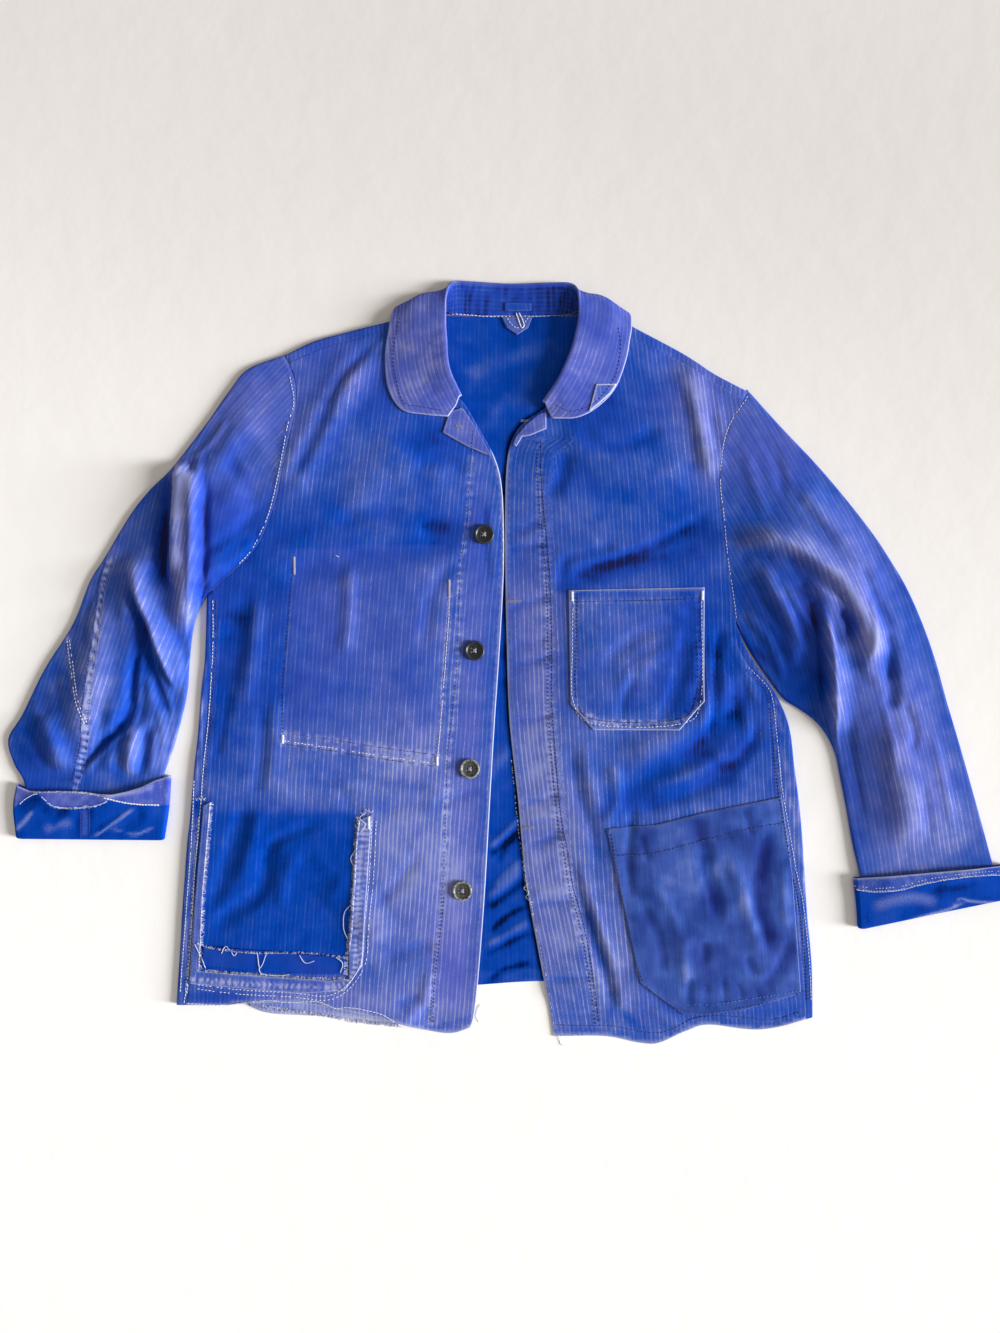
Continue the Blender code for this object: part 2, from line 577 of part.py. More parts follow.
def closed_ring(line, ends, low, upper):
    """A flattened ring: the outer fold, the upper layer, the inner fold and the lower layer."""
    middle = (low + upper[[0, -1]]) / 2
    return np.vstack([
        [[*ends[0], middle[0]]], np.column_stack([line, upper]),
        [[*ends[1], middle[1]]], np.column_stack([line, np.full(len(line), low)])[::-1],
    ])


def across(outer, inner, count, set_in):
    """Plan points of a straight ring between its two folds, the first and last close to them."""
    outer, inner = np.asarray(outer, float), np.asarray(inner, float)
    width = np.linalg.norm(inner - outer)
    share = np.concatenate([[set_in], np.linspace(0, width, count)[1:-1], [width - set_in]]) / width
    return outer + share[:, None] * (inner - outer)


def fanned(seam, pairs, k, side):
    """Plan points of a ring between the curved armhole and the first straight ring."""
    count = len(seam) - 2
    straight = across(*pairs[FAN_RINGS], count, SEAM_SET_IN)
    u = k / FAN_RINGS
    first, last = np.array(pairs[0], float), np.array(pairs[FAN_RINGS], float)
    shift = np.array(pairs[k], float) - (first * (1 - u) + last * u)
    v = np.linspace(0, 1, count)[:, None]
    line = seam[1:-1] * (1 - u) + straight * u + shift[0] * (1 - v) + shift[1] * v
    from_pit = (seam[-3] - seam[-1]) / np.linalg.norm(seam[-3] - seam[-1])
    away = np.array([-from_pit[1], from_pit[0]]) * -side
    line = line + away * FAN_BULGE[k] * smoothstep((v - 0.5) / 0.4)
    for end, fold, turn in ((0, 0, side), (-1, 1, -side)):
        along = np.array(pairs[k + 1][fold], float) - pairs[k - 1][fold]
        along /= np.linalg.norm(along)
        square = np.array([along[1], -along[0]]) * turn
        if fold:
            square = (square + away) / np.linalg.norm(square + away)
        line[end] = pairs[k][fold] + square * FAN_SET_IN[k]
    return line


def make_sleeve(name, pairs, armhole, side):
    """A sleeve: rings from the armhole seam to the fold of its cuff. side is -1 on the left."""
    seam = armhole_points(armhole)
    seam = seam + normals_2d(seam) * SEAM_GAP * side
    rings = []
    rows = len(pairs)
    for k, ends in enumerate(pairs):
        ends = np.array(ends, float)
        in_cuff = smoothstep((k - (rows - 5)) / 1.8)
        low = BACK_MID + CUFF_STEP * in_cuff
        high = low + 2 * (FOLD_RADIUS + (INNER_FOLD_RADIUS - FOLD_RADIUS) * in_cuff)
        if k == 0:
            line = seam[1:-1]
        elif k < FAN_RINGS:
            line = fanned(seam, pairs, k, side)
        else:
            line = across(*ends, len(seam) - 2, FOLD_RADIUS)
        from_edge = np.minimum(*(np.linalg.norm(line - end, axis=1) for end in ends))
        puff = SLEEVE_PUFF * smoothstep(k / 3) * smoothstep(from_edge / 60)
        relief = fold_height(line) * (smoothstep(from_edge / 12) if k else 1.0)
        upper = np.maximum(high + (puff + relief) * (1 - in_cuff) + neck_lift(line), high)
        rings.append(closed_ring(line, ends, low, upper))
    rings = np.array(rings)
    shell(name, rings.reshape(-1, 3), grid_faces(rings, ring=True), CLOTH, "work_cloth")
    return rings[-1]


def make_cuff(name, pairs, last, direction):
    """A turned-back cuff: from the sleeve's end down, round the fold, and up outside the sleeve."""
    count = len(last) // 2 - 1
    down = np.array([*direction, 0.0])
    high = BACK_MID + 2 * CUFF_STEP + 2 * INNER_FOLD_RADIUS
    outside = []
    for k, ends in enumerate(pairs):
        line = across(*ends, count, FOLD_RADIUS)
        from_edge = np.minimum(*(np.linalg.norm(line - end, axis=1) for end in ends))
        upper = high + CUFF_PUFF * k / (len(pairs) - 1) * smoothstep(from_edge / 40)
        outside.append(closed_ring(line, np.array(ends, float), BACK_MID, upper))
    start = last + down * SEAM_GAP
    at_fold = start.copy()
    at_fold[:, :2] += outside[0][:, :2].mean(axis=0) - start[:, :2].mean(axis=0)
    turn = (at_fold + outside[0]) / 2 + down * 1.2
    rings = np.array([start, at_fold, turn] + outside)
    return shell(name, rings.reshape(-1, 3), grid_faces(rings, ring=True), CLOTH, "inner_cloth")


def make_collar(left, right):
    """The collar: a stand up from the neck's seam, a roll, and a fall that passes under the back."""
    controls = []
    for section in COLLAR:
        front = left if section.seam[0] < 0 else right
        fall = []
        for x, y, z in (section.middle, section.edge):
            if z < 0:
                z = height_on(front.panel, (x, y)) + COLLAR_CLOTH / 2 - z
            fall.append((x, y, z))
        controls.append([section.seam, section.roll, fall[0], fall[1], (section.turn, 0, 0)])
    lines = spline(np.array(controls, float), COLLAR_BETWEEN)
    roll = lines[:, 1]
    outward = normals_2d(roll[:, :2])
    rows = []
    for (seam, turn_at, middle, edge, turn), out in zip(lines, outward):
        angle = math.radians(turn[0])
        level = np.array([*out, 0.0])
        up = np.array([0.0, 0.0, 1.0])
        apart = math.cos(angle) * level + math.sin(angle) * up
        back = math.sin(angle) * level - math.cos(angle) * up
        stand = turn_at + back * ROLL_SET_IN - apart * ROLL_HALF
        fall = turn_at + back * ROLL_SET_IN + apart * ROLL_HALF
        rows.append([seam, (seam + stand) / 2, stand, turn_at, fall,
                     (fall + middle) / 2, middle, (middle + edge) / 2, edge])
    rows = np.array(rows)
    return shell("collar", rows.reshape(-1, 3), grid_faces(rows), COLLAR_CLOTH, "work_cloth")


def make_button(name, centre, front):
    """A button with a raised rim, a dish and four holes."""
    centre = np.asarray(centre, float)

    def circle(radius, sides, middle=(0, 0)):
        turn = 2 * math.pi * np.arange(sides) / sides
        return np.column_stack([np.cos(turn), np.sin(turn)]) * radius + middle

    holes = [circle(BUTTON_HOLE_RADIUS, 6, (sx * BUTTON_HOLE_OFFSET, sy * BUTTON_HOLE_OFFSET))
             for sx in (-1, 1) for sy in (-1, 1)]
    rims = [circle(BUTTON_RADIUS - 1.0, BUTTON_SIDES), circle(BUTTON_RADIUS - BUTTON_RIM, BUTTON_SIDES)]
    plan, faces = triangulate(circle(BUTTON_RADIUS, BUTTON_SIDES), rims + holes, 40)
    centres = np.array([plan[list(f)].mean(axis=0) for f in faces])
    in_hole = np.zeros(len(faces), bool)
    for hole in holes:
        in_hole |= inside(centres, hole)
    faces = [f for f, gone in zip(faces, in_hole) if not gone]
    radius = np.linalg.norm(plan, axis=1)
    dish = BUTTON_HEIGHT - BUTTON_DISH
    upper = np.interp(radius, [BUTTON_RADIUS - BUTTON_RIM - 0.1, BUTTON_RADIUS - 1.0, BUTTON_RADIUS],
                      [dish, BUTTON_HEIGHT, BUTTON_HEIGHT - 1.0])
    under = circle(BUTTON_RADIUS, 16) + centre
    floor = max(height_on(front.panel, p) for p in np.vstack([under, centre[None]])) + LAYER_GAP
    top = np.column_stack([plan + centre, upper + floor])
    bottom = np.column_stack([plan + centre, np.full(len(plan), floor)])
    return wall(name, top, bottom, faces, "button_plastic")


def make_hem_turning(left):
    """The frayed turning that hangs out from under the left front's hem."""
    outer = curve(HEM_TURNING, 20)
    inner = outer.copy()
    inner[:, 1] += past_back_hem(outer) - 2 * SEAM_GAP
    rows = np.array([inner, (inner + outer) / 2, outer])
    under_front = left.height(inner) - CLOTH - LAYER_GAP
    floor = np.full(len(outer), BACK_MID)
    heights = np.array([under_front, (under_front + floor) / 2, floor])
    rows = np.concatenate([rows, heights[..., None]], axis=2)
    shell("hem_turning", rows.reshape(-1, 3), grid_faces(rows), CLOTH, "work_cloth")


def main():
    clear_scene()
    left = Front("front_left", SIDE_SEAM_L, FRONT_HEM_L, FRONT_EDGE_L, FRONT_NECK_L, SHOULDER_SEAM_L,
                 ARMHOLE_L, [REMNANT, POCKET_BASE, CORNER_L])
    right = Front("front_right", SIDE_SEAM_R, FRONT_HEM_R, FRONT_EDGE_R, FRONT_NECK_R, SHOULDER_SEAM_R,
                  ARMHOLE_R, [CHEST_POCKET, LOWER_POCKET, CORNER_R])
    back = make_back(left, right)
    sewn_on("pocket_remnant", left.panel, closed(REMNANT), POCKET_CLOTH, "work_cloth")
    sewn_on("pocket_base", left.panel, closed(POCKET_BASE), POCKET_CLOTH, "inner_cloth")
    sewn_on("corner_left", left.panel, closed(CORNER_L), CLOTH, "work_cloth")
    sewn_on("corner_right", right.panel, closed(CORNER_R), CLOTH, "work_cloth")
    sewn_on("chest_pocket", right.panel, closed(CHEST_POCKET), POCKET_CLOTH, "work_cloth", POCKET_PUFF)
    sewn_on("lower_pocket", right.panel, closed(LOWER_POCKET), POCKET_CLOTH, "pocket_twill", POCKET_PUFF)
    sewn_on("hanger_tab", back, closed(HANGER_TAB), TAB_CLOTH, "work_cloth")
    end_l = make_sleeve("sleeve_left", SLEEVE_L, ARMHOLE_L, -1)
    end_r = make_sleeve("sleeve_right", SLEEVE_R, ARMHOLE_R, 1)
    make_cuff("cuff_left", CUFF_L, end_l, (0.0, -1.0))
    make_cuff("cuff_right", CUFF_R, end_r, (0.17, -0.985))
    make_collar(left, right)
    make_hem_turning(left)
    for number, centre in enumerate(BUTTON_CENTRES, 1):
        make_button(f"button_{number}", centre, left)


main()
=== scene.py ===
"""Looks of the faded cotton work jacket, unbuttoned and laid flat on its back.

Plans are in millimetres in the frame's own axes, or in pixels of the photograph through px().
Left and right are the viewer's. Every piece of cloth is a thin shell: a middle surface with half the
cloth's thickness on each side, and at each point what its material reads: where the point is in the
weave, how faded and how worn it is, the fading also carrying painted light and shade.
"""

import math
from collections import namedtuple

import bmesh
import bpy
import numpy as np
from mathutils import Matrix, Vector
from mathutils.bvhtree import BVHTree
from mathutils.geometry import delaunay_2d_cdt


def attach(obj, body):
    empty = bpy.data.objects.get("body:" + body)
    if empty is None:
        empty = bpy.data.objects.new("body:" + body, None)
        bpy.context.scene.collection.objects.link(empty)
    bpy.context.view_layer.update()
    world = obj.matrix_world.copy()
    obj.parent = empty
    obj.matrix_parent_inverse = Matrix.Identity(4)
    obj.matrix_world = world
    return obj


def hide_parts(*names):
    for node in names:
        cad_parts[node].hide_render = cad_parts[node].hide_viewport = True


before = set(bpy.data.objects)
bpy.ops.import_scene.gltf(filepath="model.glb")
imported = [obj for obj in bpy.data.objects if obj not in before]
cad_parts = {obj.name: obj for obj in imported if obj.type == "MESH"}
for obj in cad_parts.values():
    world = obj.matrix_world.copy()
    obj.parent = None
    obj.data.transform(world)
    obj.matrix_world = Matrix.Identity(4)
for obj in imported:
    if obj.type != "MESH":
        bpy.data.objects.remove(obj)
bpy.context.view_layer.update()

MM = 0.001

# The photograph: millimetres a pixel, and the pixel of the frame's origin
MM_PER_PX = 1.05
PX_ORIGIN = (505, 663)

# Cloth, seams and folds
CLOTH = 1.2
POCKET_CLOTH = 1.1
COLLAR_CLOTH = 1.8
TAB_CLOTH = 1.4
PATCH_CLOTH = 0.9
SEAM_GAP = 0.6
LAYER_GAP = 0.5
FOLD_RADIUS = 2.0
BACK_MID = CLOTH / 2
EDGE_TOP = BACK_MID + 2 * FOLD_RADIUS
REST = CLOTH * 1.5 + LAYER_GAP + 0.1
FRONT_PUFF = 1.2
LIFT_OVER_COLLAR = 2.3
SEAM_SET_IN = 9.0
TUCK = 3.0
TUCK_DOWN = 1.3
POCKET_PUFF = 1.2
EDGE_ROUND = 3.2
CUFF_HEM_STEP = 0.5
BACK_CREASE_TOP = 0.7
WORN_EDGE = 1.5
FLAP_WORN_FROM = 3
GROOVE_REACH = 2.6
PUCKER_REACH = 9
RUBBED_REACH = 5
FOLD_FADING = 0.18
# The right front's band beside its edge, and the height above which the fronts' corners are turned out
BAND = 47.0
BAND_STEP = 0.45
FLAP_END = 228.0
# How far from the right front's edge a painted shadow darkens the back
PAINTED_SHADOW_REACH = 6.5

# The body is raised over the collar's fall, from a height up and either side of a middle
NECK_FROM = 296
NECK_MIDDLE = 6
NECK_HALF = 176
NECK_FADING = 36
# A front rises away from its borders and from its front edge, and drops where it is longer than the back
PUFF_FROM_BORDER = 70
PUFF_FROM_EDGE = 60
RISE_FROM_EDGE = 90
DROP_PAST_HEM = 24
DROP_FADING = 40
# The folded edges of the back, in steps round the fold and in shares of the way to the seam
FOLD_TURNS = (-90, -60, -30, 0, 30, 60, 90)
FOLD_SHARES = (0.25, 0.5, 0.75, 0.92)
CUFF_FOLD_OUT = 1.6
CUFF_FOLD_STEPS = 7
# What shows of the back between the fronts: its middle, half its width and the fading; the same up
SHOWN_BACK = (12, 40, 14)
SHOWN_HEIGHT = (372, 20)

# Spacing of the points
PANEL_GRID = 4.6
BACK_GRID = 6.5
DENSER = 0.42
EDGE_STEP = 4.0
EDGE_INSET = 0.9
COARSE_STEP = 24.0
SLEEVE_BETWEEN = 9
CUFF_BETWEEN = 12
COLLAR_BETWEEN = 9
COLLAR_ACROSS = 3
UPPER_POINTS = 84
LOWER_POINTS = 34
CLEARANCE = 0.6
SMALL_STEP = 2.6
NOISE_TABLE = 97

# The photograph's size in pixels, the camera, the floor in metres and the lights
PHOTO_SIZE = (1000, 1333)
SENSOR = 36.0
LENS = 27.0
CAMERA_HEIGHT = 1.0547
FLOOR_HALF = 6.0
DAYLIGHT = (0.985, 0.99, 1.0)
SUN_FROM = (0.86, -0.18, 0.40)
SUN_POWER = 3.75
SUN_ANGLE = 18.0
LOW_SUN_FROM = (0.95, -0.10, 0.19)
LOW_SUN_POWER = 3.7
LOW_SUN_ANGLE = 16.0
ROOM_COLOUR = (1.0, 0.915, 0.82, 1.0)
ROOM_LIGHT = 0.45
# The paper's colour from the picture's top to its bottom, darker towards the top: painted light falloff
PAPER_WITH_PAINTED_FALLOFF = [(0.0, (0.66, 0.64, 0.63, 1.0)), (0.35, (0.76, 0.745, 0.73, 1.0)), (0.7, (0.84, 0.83, 0.82, 1.0)),
         (1.0, (0.90, 0.90, 0.90, 1.0))]

# Body plan. Sides and shoulders are where the cloth folds over; their seams lie on the upper layer
SHOULDER_L = [(-232, 323), (-200, 338), (-163, 348), (-118, 359), (-75, 376)]
SHOULDER_R = [(255, 285), (219, 304), (185, 326), (142, 348), (96, 374)]
SHOULDER_SEAM_L = [(-196, 329), (-161, 339), (-116, 350), (-74, 365)]
SHOULDER_SEAM_R = [(215, 297), (181, 318), (138, 339), (92, 364)]
ARMHOLE_L = [(-232, 323), (-221, 300), (-220, 267), (-229, 227), (-239, 176), (-249, 147), (-262, 119),
             (-282, 99), (-300, 83), (-313, 71)]
ARMHOLE_R = [(255, 285), (235, 248), (225, 206), (226, 158), (231, 118), (238, 77), (243, 38)]
SIDE_L = [(-313, 71), (-315, 7), (-319, -28), (-323, -79), (-327, -117), (-331, -166), (-334, -192),
          (-339, -262), (-341, -297), (-345, -359)]
SIDE_R = [(243, 38), (251, 18), (263, -2), (277, -22), (289, -42), (299, -70), (304, -110), (310, -158),
          (314, -211), (317, -260), (322, -316), (323, -372)]
SIDE_SEAM_L = [(-306, 40), (-307, 7), (-313, -48), (-316, -104), (-320, -166), (-323, -202),
               (-328, -245), (-330, -300), (-335, -359)]
SIDE_SEAM_R = [(244, 20), (256, -4), (270, -25), (281, -52), (289, -103), (292, -139),
               (297, -175), (304, -230), (309, -270), (314, -330), (316, -374)]
FRONT_EDGE_L = [(-62, 290), (-44, 274), (-29, 249), (-12, 218), (-4, 188), (-1.5, 140), (-2, 87), (-6, 14),
                (-11, -60), (-16, -144), (-22, -249), (-29, -338), (-33, -372), (-36, -384)]
FRONT_EDGE_R = [(56, 290), (44, 270), (21, 254), (8, 236), (2.5, 212), (0.5, 170), (0.5, 108), (2, 24),
                (5, -60), (14, -144), (22, -228), (35, -301), (45, -354), (51, -393)]
FRONT_NECK_L = [(-62, 290), (-70, 312), (-73, 340), (-74, 365)]
FRONT_NECK_R = [(56, 290), (66, 310), (75, 338), (83, 354), (92, 364)]
BACK_NECK = [(-72, 374), (-66, 367), (-54, 364.5), (5, 364.5), (68, 364.5), (82, 366), (93, 373)]
FRONT_HEM_L = [(-36, -384), (-58, -390), (-89, -385), (-131, -373), (-173, -364), (-215, -357), (-257, -356),
               (-299, -359), (-335, -359)]
FRONT_HEM_R = [(51, -393), (105, -393), (142, -400), (163, -400), (194, -386), (217, -381), (268, -386),
               (316, -374)]
BACK_HEM = [(-345, -359), (-215, -350), (-110, -345), (-28, -339), (47, -335), (152, -343), (247, -357),
            (323, -372)]
# The part of the back that shows between the fronts
OPENING = [(-70, -360), (80, -360), (40, -60), (30, 200), (100, 330), (88, 362), (-70, 362), (-80, 330),
           (-22, 200), (-30, -60)]

# Sleeve plan: pairs of points on the outer and the inner edge, from the armhole to inside the cuff
SLEEVE_L = [
    ((-232.5, 323.5), (-314.4, 72)), ((-270, 309), (-319.5, 62)), ((-289, 287), (-323.5, 53)),
    ((-315, 250), (-326.5, 44)), ((-350, 205), (-328.5, 35)), ((-373, 182), (-330, 26)),
    ((-394, 155), (-331, 17)), ((-421, 110), (-332, 6)), ((-436, 86), (-333, -8)),
    ((-454, 41), (-334, -24)), ((-484, -7), (-337, -43)), ((-507, -54), (-343, -67)),
    ((-522, -80), (-350, -91)), ((-516, -105), (-356, -108)), ((-505, -124), (-361, -126)),
    ((-504, -148), (-364, -150)), ((-506, -173), (-367, -174)),
]
SLEEVE_R = [
    ((256.3, 285.2), (245, 39)), ((290, 248), (253.5, 20.5)), ((326, 210), (265.5, 0.5)),
    ((356, 175), (279.5, -19.5)), ((385, 138), (293, -37)), ((405, 108), (310, -48)),
    ((423, 77), (326, -60)), ((440, 38), (339, -76)), ((453, 0), (348, -96)),
    ((464, -40), (353, -120)), ((478, -87), (359, -150)), ((495, -148), (366, -190)),
    ((511, -208), (373, -222)), ((517, -224), (377, -246)), ((519, -236), (379, -267)),
]
# Middle lines that the stripes follow, from above the armhole to the cuff, by side
SLEEVE_MIDDLES = {
    -1: [(-150, 420), (-226, 335), (-280, 275), (-310, 235), (-328, 180), (-345, 100), (-366, 20),
         (-386, -50), (-405, -120), (-412, -190)],
    1: [(150, 420), (250, 300), (330, 160), (375, 60), (405, -40), (428, -140), (450, -260)],
}
# Half of the way round a sleeve
SLEEVE_WIDTH = 190.0
CUFF_L = [((-513, -182), (-358, -184)), ((-516, -150), (-353, -150)), ((-512, -125), (-351, -121))]
CUFF_R = [((527, -246), (371, -277)), ((530, -228), (369, -250)), ((527, -212), (366, -226))]
FAN_RINGS = 6
FAN_BULGE = (0, 5, 10, 11, 8, 4)
FAN_SET_IN = (0, 4, 4.5, 4, 3.5, 3)
SLEEVE_PUFF = 8.0
CUFF_PUFF = 3.5
INNER_FOLD_RADIUS = 1.5
CUFF_STEP = 2.0
CUFF_DEPTH = 34
CUFF_POINTS = 12

Fold = namedtuple("Fold", "path height left right")
Seam = namedtuple("Seam", "path depth pitch wear")
StitchRow = namedtuple("StitchRow", "shift length gap skipped path")
# Frayed edges: their threads' reach and how many there are a millimetre; they leave it to its right
Fray = namedtuple("Fray", "reach density path")
# Ridges (+) and troughs (-) of the upper layer: a path, a height, and the width on each side of it
FOLDS = [
    Fold([(-138, 330), (-168, 288), (-205, 225), (-232, 170)], 4.0, 26, 34),
    Fold([(-262, 80), (-292, 25), (-308, -40), (-318, -100)], -2.2, 20, 16),
    Fold([(-246, 92), (-172, 108), (-88, 122), (-30, 160)], -2.6, 24, 30),
    Fold([(-270, -146), (-280, -190), (-300, -236), (-312, -262)], -2.4, 13, 15),
    Fold([(-240, -178), (-256, -236), (-284, -262), (-312, -284)], -2.4, 14, 15),
    Fold([(-190, -230), (-150, -262), (-128, -300)], 3.0, 30, 26),
    Fold([(60, 88), (100, 102), (165, 114), (222, 150)], -2.4, 22, 30),
    Fold([(98, -150), (150, -128), (205, -86), (250, -40), (276, -36)], -2.4, 26, 22),
    Fold([(120, -96), (176, -78), (222, -38), (238, 8)], 3.6, 26, 26),
    Fold([(192, 322), (206, 250), (222, 190)], 3.4, 20, 24),
    Fold([(72, -200), (90, -280), (112, -330), (122, -372)], -2.2, 12, 11),
    Fold([(60, 250), (100, 216), (150, 196), (200, 206)], 2.6, 34, 34),
    Fold([(-100, 236), (-140, 190), (-160, 150)], 2.4, 34, 34),
    Fold([(-352, 214), (-336, 203), (-328, 190), (-326, 150), (-327, 108), (-330, 60), (-333, 20)],
         13.0, 8, 26),
    Fold([(-352, 200), (-357, 150), (-363, 98), (-374, 74)], -6.0, 14, 14),
    Fold([(-394, 120), (-386, 89), (-372, 46), (-350, -8), (-341, -36)], 9.0, 22, 10),
    Fold([(-376, 66), (-380, 11), (-386, -28), (-388, -53), (-411, -78), (-440, -106)], -6.0, 18, 14),
    Fold([(-388, -62), (-387, -92), (-394, -122)], 5.0, 12, 14),
    Fold([(-424, 70), (-428, 20), (-436, -40), (-446, -92)], 5.5, 26, 30),
    Fold([(-262, 240), (-290, 200), (-316, 165)], -3.0, 20, 20),
    Fold([(-480, -50), (-470, -84), (-462, -118)], 4.0, 18, 22),
    Fold([(238, 130), (297, 122), (338, 94), (362, 64), (378, 24), (380, -20)], 10.0, 26, 14),
    Fold([(309, 84), (327, 62), (336, 14), (342, -40), (348, -84)], 10.0, 26, 8),
    Fold([(318, 72), (338, 46), (350, 14)], -5.0, 10, 10),
    Fold([(264, 104), (290, 58), (302, 24), (306, -6)], 5.5, 12, 14),
    Fold([(394, 16), (404, -24), (402, -52)], -4.0, 12, 12),
    Fold([(402, -60), (416, -130), (424, -200)], 4.5, 26, 26),
    Fold([(300, 190), (352, 128), (392, 60)], 4.0, 30, 24),
]

# What is sewn on the fronts and inside the neck
CHEST_POCKET = [(67, 76), (209, 79), (208, -40), (182, -70), (93, -70), (69, -43)]
LOWER_POCKET = [(107, -174), (158, -170), (205, -158), (290, -141), (301, -222), (310, -346), (247, -364),
                (188, -370), (142, -335)]
REMNANT = [(-140, -160), (-150, -317), (-168, -343), (-215, -346), (-331, -336), (-326, -262), (-316, -150),
           (-309, -146), (-317, -240), (-321, -323), (-257, -328), (-184, -333), (-163, -331), (-163, -291),
           (-158, -217), (-154, -165)]
POCKET_BASE = [(-316, -297), (-252, -302), (-168, -309), (-168, -326), (-257, -322), (-318, -317)]
CORNER_L = [(-58, 264), (-65, 242), (-40, 228), (-14, 217), (-29, 245), (-45, 268)]
CORNER_R = [(43, 264), (43, 246), (26, 239), (18, 238), (12, 228), (8, 229), (11, 237), (22, 250), (35, 261)]
HANGER_TAB = [(-3, 363), (28, 363), (24, 352), (13, 345), (2, 352)]
HEM_TURNING = [(-270, -361), (-247, -369), (-194, -372), (-152, -375.5), (-112, -382)]
# Buttons down the left front
BUTTON_CENTRES = [(-22, 135), (-32, 13), (-37, -111), (-45, -239)]
BUTTON_LEAN = [(0.02, 0.01), (-0.01, 0.02), (0.015, -0.01), (0.0, 0.02)]
BUTTON_HOLE_RADIUS = 1.2
BUTTON_HOLE_OFFSET = 1.9
BUTTON_SIDES = 56
# A button's rings from its rim inwards and their heights, and its underside in the same way
BUTTON_RADII = [10.5, 10.35, 9.9, 9.2, 8.5, 7.9, 7.4, 6.4, 5.0]
BUTTON_HEIGHTS = [1.9, 2.5, 3.0, 3.2, 3.05, 2.5, 2.0, 1.85, 1.8]
BUTTON_UNDER_RADII = [0, 8.5, 10.5]
BUTTON_UNDER = [0, 0.2, 1.1]
BUTTON_GAP = 0.3
BUTTON_THREAD_RADIUS = 0.32
BUTTON_THREAD_SHIFTS = (-0.35, 0.0, 0.35)
BUTTON_SHANK_RADIUS = 1.9
BUTTON_WORN_FROM = 8.0

# Collar sections from the left front end round the neck to the right one. Each has its seam and its
# roll as (x, y, z), the roll's turn in degrees (90: the fall lies over the stand, -90: under it), and
# the middle and the edge of the fall as (x, y, z); a z under 0 is a height above the front below it
Section = namedtuple("Section", "seam roll turn middle edge")
COLLAR = [
    Section((-48, 280, 5.5), (-46, 280, 9.0), 90, (-52, 270, -3.0), (-60, 259, -1.6)),
    Section((-57, 287, 6.0), (-51, 290, 12.0), 90, (-66, 274, -4.5), (-84, 261, -1.0)),
    Section((-64, 300, 6.5), (-57, 303, 14.5), 90, (-80, 286, -5.5), (-108, 266, -0.6)),
    Section((-68, 314, 7.0), (-60, 317, 16.0), 90, (-90, 303, -6.0), (-122, 288, -0.6)),
    Section((-71, 334, 7.5), (-61, 335, 17.0), 90, (-94, 331, -6.0), (-125, 322, -0.6)),
    Section((-72, 350, 8.5), (-62, 351, 18.0), 84, (-95, 354, 16.5), (-121, 348, 11.0)),
    Section((-71.5, 362, 9.0), (-62, 366, 17.5), 66, (-96, 373, 13.5), (-119, 363, 9.6)),
    Section((-70, 372, 8.0), (-62, 380, 15.5), 30, (-88, 385, 9.0), (-113, 374, 5.0)),
    Section((-64, 371, 6.0), (-60, 392, 11.0), -20, (-76, 388, 3.4), (-98, 371, 0.9)),
    Section((-53, 366.5, 4.4), (-54, 400, 6.0), -70, (-60, 383, 1.2), (-76, 354, 0.9)),
    Section((-35, 365.3, 3.9), (-33, 400, 3.6), -90, (-34, 378, 1.0), (-40, 347, 0.9)),
    Section((5, 365.3, 3.9), (5, 398, 2.9), -90, (5, 374, 1.0), (5, 345, 0.9)),
    Section((46, 365.3, 3.9), (45, 399, 3.6), -90, (46, 378, 1.0), (50, 347, 0.9)),
    Section((66, 366.5, 4.4), (68, 398, 6.0), -70, (74, 382, 1.2), (88, 353, 0.9)),
    Section((78, 370, 6.0), (76, 390, 11.0), -20, (92, 386, 3.4), (112, 370, 0.9)),
    Section((86, 369, 8.0), (77, 380, 15.5), 30, (105, 382, 9.0), (130, 367, 5.0)),
    Section((83, 358, 9.0), (77, 363, 17.5), 66, (110, 366, 13.5), (132, 352, 9.6)),
    Section((77, 345, 8.5), (75, 349, 18.0), 84, (106, 348, 16.5), (130, 338, 11.0)),
    Section((72, 328, 7.5), (70, 329, 17.0), 90, (99, 325, -6.0), (126, 316, -0.6)),
    Section((66, 311, 7.0), (63, 311, 16.0), 90, (88, 298, -6.0), (115, 288, -0.6)),
    Section((59, 299, 6.5), (56, 297, 14.5), 90, (76, 279, -5.5), (97, 269, -0.6)),
    Section((52, 287, 6.0), (48, 285, 12.0), 90, (63, 268, -4.5), (76, 258, -1.0)),
    Section((44, 277, 5.5), (40, 274, 9.0), 90, (45, 266, -3.0), (50, 257, -1.6)),
]
ROLL_HALF = 1.35
ROLL_SET_IN = 2.2


def px(*points):
    """Plan points in millimetres from pixels of the photograph."""
    return [((x - PX_ORIGIN[0]) * MM_PER_PX, (PX_ORIGIN[1] - y) * MM_PER_PX) for x, y in points]


def crease(height, left_width, right_width, *points):
    """A fine fold along pixels of the photograph."""
    return Fold(px(*points), height, left_width, right_width)


def seam(depth, pitch, wear, *points):
    """A sewn line along pixels of the photograph."""
    return Seam(px(*points), depth, pitch, wear)


def stitched(shift, length, gap, skipped, *points):
    """A row of stitches along pixels of the photograph, a share of them worn away."""
    return StitchRow(shift, length, gap, skipped, px(*points))


# Where the torn pocket kept the dye, and the row where that ends softly
UNFADED = px((196, 790), (357, 795), (355, 962), (335, 975), (192, 972))
UNFADED_TOP = (PX_ORIGIN[1] - 818) * MM_PER_PX
# The inner pocket, seen as a ghost through the left front
GHOST_POCKET = px((296, 548), (448, 545), (449, 610), (446, 654), (441, 719), (437, 765), (283, 742),
                  (287, 643), (291, 602))


